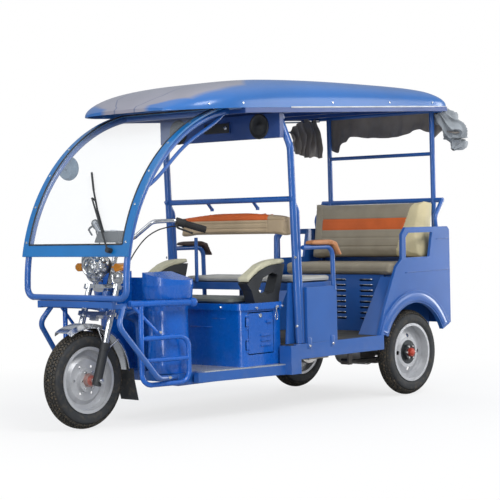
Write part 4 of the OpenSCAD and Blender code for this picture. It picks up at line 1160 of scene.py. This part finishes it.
def roof_edge():
    """Points along the left edge of the roof, from its solid."""
    best = {}
    for v in nodes["roof"].data.vertices:
        key = round(v.co.x, 3)
        if v.co.y < best.get(key, (9, 0))[0]:
            best[key] = (v.co.y, v.co.z)
    return [Vector((x, best[x][0], best[x][1])) for x in sorted(best)]


def along(points, share):
    total = sum((b - a).length for a, b in zip(points, points[1:]))
    left = share * total
    for a, b in zip(points, points[1:]):
        step = (b - a).length
        if left <= step:
            return a.lerp(b, left / step)
        left -= step
    return points[-1]


def flip(p):
    return Vector((p.x, -p.y, p.z))


# Wheel arch flare: radii about the wheel and distances from the middle, in millimetres
FLARE_RADII = (291, 356)
FLARE_Y = (492.6, 484.3)
FLARE_BULGE = 7.0


def arch_flare(name, side):
    """A rounded band round the wheel arch, from its lip out to the flat of the panel."""
    share = [k / 10 for k in range(11)]
    section = []
    for t in share:
        y = FLARE_Y[0] + (FLARE_Y[1] - FLARE_Y[0]) * t + FLARE_BULGE * math.sin(math.pi * t) ** 0.8
        section.append((FLARE_RADII[0] + (FLARE_RADII[1] - FLARE_RADII[0]) * t, y))
    section += [(FLARE_RADII[1] - 3, 481.0), (FLARE_RADII[0] + 3, 481.0)]
    verts = []
    steps = 66
    for k in range(steps + 1):
        a = math.radians(27 + 129 * k / steps)
        verts += [about_axle(REAR_AXLE_X, side * y, r, a) for r, y in section]
    count = len(section)
    faces = grid_faces(steps + 1, count, wrap_columns=True)
    faces.append(tuple(range(count)))
    faces.append(tuple(reversed(range(steps * count, (steps + 1) * count))))
    if side > 0:
        faces = [tuple(reversed(f)) for f in faces]
    piece(name, verts, faces, ["blue"], "chassis")


def trim():
    edge = roof_edge()
    drip = [p + Vector((0, 0.001, 0.001)) for p in edge if p.x > at(900, 0, 0).x]
    tubes("drip_rails", [drip, [flip(p) for p in drip]], 0.0042, "dial", "chassis", 8)
    rivets = []
    for share in (0.1, 0.19, 0.5, 0.72, 0.9):
        p = along(edge, share) + Vector((0, -0.0005, 0.024))
        rivets += [(p, Vector((0, -1, 0))), (flip(p), Vector((0, 1, 0)))]
    bolts("roof_rivets", rivets, 0.006, 0.003, "chassis", 8)
    left = Vector((0, -1, 0))
    right = Vector((0, 1, 0))
    # Bracket tabs at the foot of the side panels
    for side, way, name in ((-1, left, "left"), (1, right, "right")):
        tabs = []
        for x in (1158, 1350):
            lo = at(x - 15, side * 492 - (3 if side < 0 else 0), 332)
            hi = at(x + 15, side * 492 + (3 if side > 0 else 0), 392)
            soft_box("panel_tab_%s_%d" % (name, x), lo, hi, 0.0012, "blue", "chassis")
            tabs.append((at(x, side * 495, 348), way))
        bolts("panel_bolts_" + name, tabs, 0.0075, 0.006, "chassis")
        crease = [at(x, side * 484.4, 702 + 0.012 * (x - 2000)) for x in range(2020, 2450, 20)]
        upper = [at(x, side * 484.4, 884 + 0.012 * (x - 2000)) for x in range(2320, 2450, 20)]
        tubes("quarter_creases_" + name, [crease, upper], 0.0026, "blue", "chassis", 8)
        arch_flare("arch_flare_" + name, side)
    # Hasps on the driver's seat lid, the wire latch and pressed lines on the box
    hasps = [(at(731, y, 568), Vector((-1, 0, 0))) for y in (-258, 258)]
    hasps += [(at(x, -409, 564), left) for x in (836, 1000, 1040)]
    bolts("lid_hasps", hasps, 0.007, 0.009, "chassis")
    wire = [at(988 + dx, -414, z) for dx, z in (
        (4, 566), (2, 550), (-7, 526), (-8, 504), (0, 494), (8, 504), (7, 526), (-2, 550), (-4, 566)
    )]
    tubes("lid_latch", [smooth_path(wire, 4)], 0.0022, "chrome", "chassis", 8)
    rows = ((-275, -180, 510), (-180, -20, 465), (40, 260, 465))
    pressed = [[at(744.6, y, z) for y in (start, end)] for start, end, z in rows]
    tubes("box_creases", pressed, 0.0024, "cowl", "chassis", 8)
    # Key lock on the tool box door
    turned("door_lock", at(880, -395, 522), left, [
        (-0.002, 0.011), (0.004, 0.011), (0.005, 0.009), (0.003, 0.004), (0.003, 0.001)
    ], "chrome", "tool_box_door", 20)
    # Lips of the louvres under the rear seat, in bright zinc: a painted highlight along the slots' edges
    seat_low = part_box("rear_seat_box")[0]
    lips = []
    for y in (-200, 0, 200):
        for i in range(8):
            z = at(0, 0, 362 + 77 + 32 * i).z
            lips.append([Vector((seat_low.x - 0.001, y / 1000 + d, z)) for d in (-0.047, 0.047)])
    tubes("louvre_lips_painted_highlight", lips, 0.0028, "bolt", "chassis", 8)
    # Screws round the windscreen frame
    screws = []
    for degrees in (14, 26, 38, 50, 62, 74):
        a = math.radians(degrees)
        out = Vector((-math.cos(a), 0, math.sin(a)))
        for y in (-367, 367):
            screws.append((on_hoop(914.3, a, y), out))
    bolts("screen_screws", screws, 0.0065, 0.003, "chassis", 8)
    # Rubber seal between the glass and its frame
    seal_r = 914.2
    seal_y = 345.6
    sweep = [math.radians(13.3 + 63 * k / 60) for k in range(61)]
    seals = [[on_hoop(seal_r, a, y) for a in sweep] for y in (-seal_y, seal_y)]
    seals += [[on_hoop(seal_r, a, y) for y in (-seal_y, 0, seal_y)] for a in (sweep[0], sweep[-1])]
    tubes("screen_seal", seals, 0.004, "flap", "chassis", 8)
    # Bolts where the guards and braces meet the cowl
    guards = [(at(232, s * 312, 474), Vector((0.1, s, 0)).normalized()) for s in (-1, 1)]
    guards += [(at(246, s * 359, 252), Vector((0, s, 0))) for s in (-1, 1)]
    bolts("guard_bolts", guards, 0.009, 0.008, "chassis")
    # Pillar bolts
    pillars = []
    for side in (-1, 1):
        way = Vector((-0.6, side * 0.8, 0))
        pillars += [(at(1085 - 11.4, side * (462 + 15.2), z), way) for z in (456, 818)]
    bolts("pillar_bolts", pillars, 0.0075, 0.006, "chassis")
    # Grab rail inside the windscreen hoop, on the driver's left
    rail = []
    for k in range(25):
        t = k / 24
        a = math.radians(79 - 46 * t)
        r = 886 - 52 * (1 - (2 * t - 1) ** 4)
        rail.append(on_hoop(r, a, -366))
    tubes("grab_rail", [rail], 0.009, "blue", "chassis", 12)


def wheel_bolts():
    def circle(x, side, y, radius):
        return [(about_axle(x, side * y, radius, a), Vector((0, side, 0))) for a in angles(6)]

    front = circle(0, -1, 38, 44) + circle(0, 1, 38, 44)
    bolts("front_hub_bolts", front, 0.0065, 0.006, "front_wheel")
    for side, name in ((-1, "left"), (1, "right")):
        rear = circle(REAR_AXLE_X, side, 445.5, 36)
        bolts("rear_hub_bolts_" + name, rear, 0.007, 0.008, "rear_wheel_" + name)
        turned("rear_hub_cap_" + name, at(REAR_AXLE_X, side * 460.4, AXLE_Z), Vector((0, side, 0)), [
            (-0.004, 0.0205), (0.004, 0.02), (0.009, 0.015), (0.0105, 0.008), (0.011, 0.001)
        ], "cap", "rear_wheel_" + name, 6)


# Studio


def studio():
    scene = bpy.context.scene
    scene.view_settings.view_transform = "Standard"
    world = bpy.data.worlds.new("studio")
    scene.world = world
    world.use_nodes = True
    tree = world.node_tree
    background = tree.nodes["Background"]
    rays = new_node(tree, "ShaderNodeLightPath")
    # What polished faces mirror: bright overhead, dim at the horizon
    source = new_node(tree, "ShaderNodeTexCoord")
    split = new_node(tree, "ShaderNodeSeparateXYZ")
    tree.links.new(source.outputs["Generated"], split.inputs[0])
    height = math_node(tree, "ADD", math_node(tree, "MULTIPLY", split.outputs["Z"], 0.5), 0.5)
    sky = ramp(tree, height, [
        (0.45, (0.2, 0.22, 0.25)), (0.53, (0.32, 0.35, 0.39)), (0.74, (0.42, 0.45, 0.5)),
        (0.92, (0.9, 0.92, 0.95))
    ])
    soft = mix(tree, rays.outputs["Is Glossy Ray"], (0.5, 0.53, 0.58), sky)
    seen = math_node(tree, "MAXIMUM", rays.outputs["Is Camera Ray"], rays.outputs["Is Transmission Ray"])
    tree.links.new(mix(tree, seen, soft, (1.0, 1.0, 1.0)), background.inputs["Color"])
    background.inputs["Strength"].default_value = 1.0
    lights = [
        ("key", (-1.6, -4.6, 4.4), 175, 2.4, 2.4), ("fill", (-4.8, 1.5, 2.6), 40, 2.5, 2.5),
        ("side", (3.4, -3.6, 2.2), 36, 2.0, 2.0), ("back", (3.0, 4.0, 3.5), 60, 3.0, 3.0),
        ("strip_front", (-4.2, -1.55, 1.25), 44, 0.6, 2.4), ("strip_rear", (4.1, -1.7, 1.25), 44, 0.7, 2.4),
    ]
    for name, place, power, size, height in lights:
        data = bpy.data.lights.new(name, "AREA")
        data.energy = power
        data.shape = "RECTANGLE"
        data.size = size
        data.size_y = height
        lamp = add_object(name, data)
        lamp.location = place
        lamp.visible_camera = False
        lamp.visible_glossy = name != "back"
        lamp.rotation_euler = (Vector((0, 0, 0.8)) - Vector(place)).to_track_quat("-Z", "Y").to_euler()
    reach = 60.0
    mesh = bpy.data.meshes.new("studio_floor")
    corners = [(-reach, -reach, 0), (reach, -reach, 0), (reach, reach, 0), (-reach, reach, 0)]
    mesh.from_pydata(corners, [], [(0, 1, 2, 3)])
    floor = add_object("studio_floor", mesh)
    floor.location.z = -0.0005
    mat, tree, shader = base_material("pale_floor", (0.8, 0.8, 0.8), 0.9)
    glow = new_node(tree, "ShaderNodeEmission", {"Color": (1, 1, 1, 1), "Strength": 1.0})
    blend = new_node(tree, "ShaderNodeMixShader")
    rays = new_node(tree, "ShaderNodeLightPath")
    source = new_node(tree, "ShaderNodeTexCoord")
    length = new_node(tree, "ShaderNodeVectorMath", operation="LENGTH")
    tree.links.new(source.outputs["Object"], length.inputs[0])
    far = span(tree, length.outputs["Value"], 0.8, 3.2)
    fade = math_node(tree, "ADD", 0.72, math_node(tree, "MULTIPLY", far, 0.28))
    share = math_node(tree, "MULTIPLY", rays.outputs["Is Camera Ray"], fade)
    color_link(tree, shader, mix(tree, rays.outputs["Is Camera Ray"], (0.45, 0.45, 0.45), (0.8, 0.8, 0.8)))
    tree.links.new(share, blend.inputs["Fac"])
    tree.links.new(shader.outputs[0], blend.inputs[1])
    tree.links.new(glow.outputs[0], blend.inputs[2])
    tree.links.new(blend.outputs[0], tree.nodes["Material Output"].inputs["Surface"])
    mesh.materials.append(mat)


camera()
cables()
finish_nodes()
tyre("front_tyre", "front_wheel")
tyre("rear_tyre_left", "rear_wheel_left")
tyre("rear_tyre_right", "rear_wheel_right")
wheel_bolts()
seats()
curtains()
roof_skin()
headlamp()
fittings()
console()
trim()
studio()
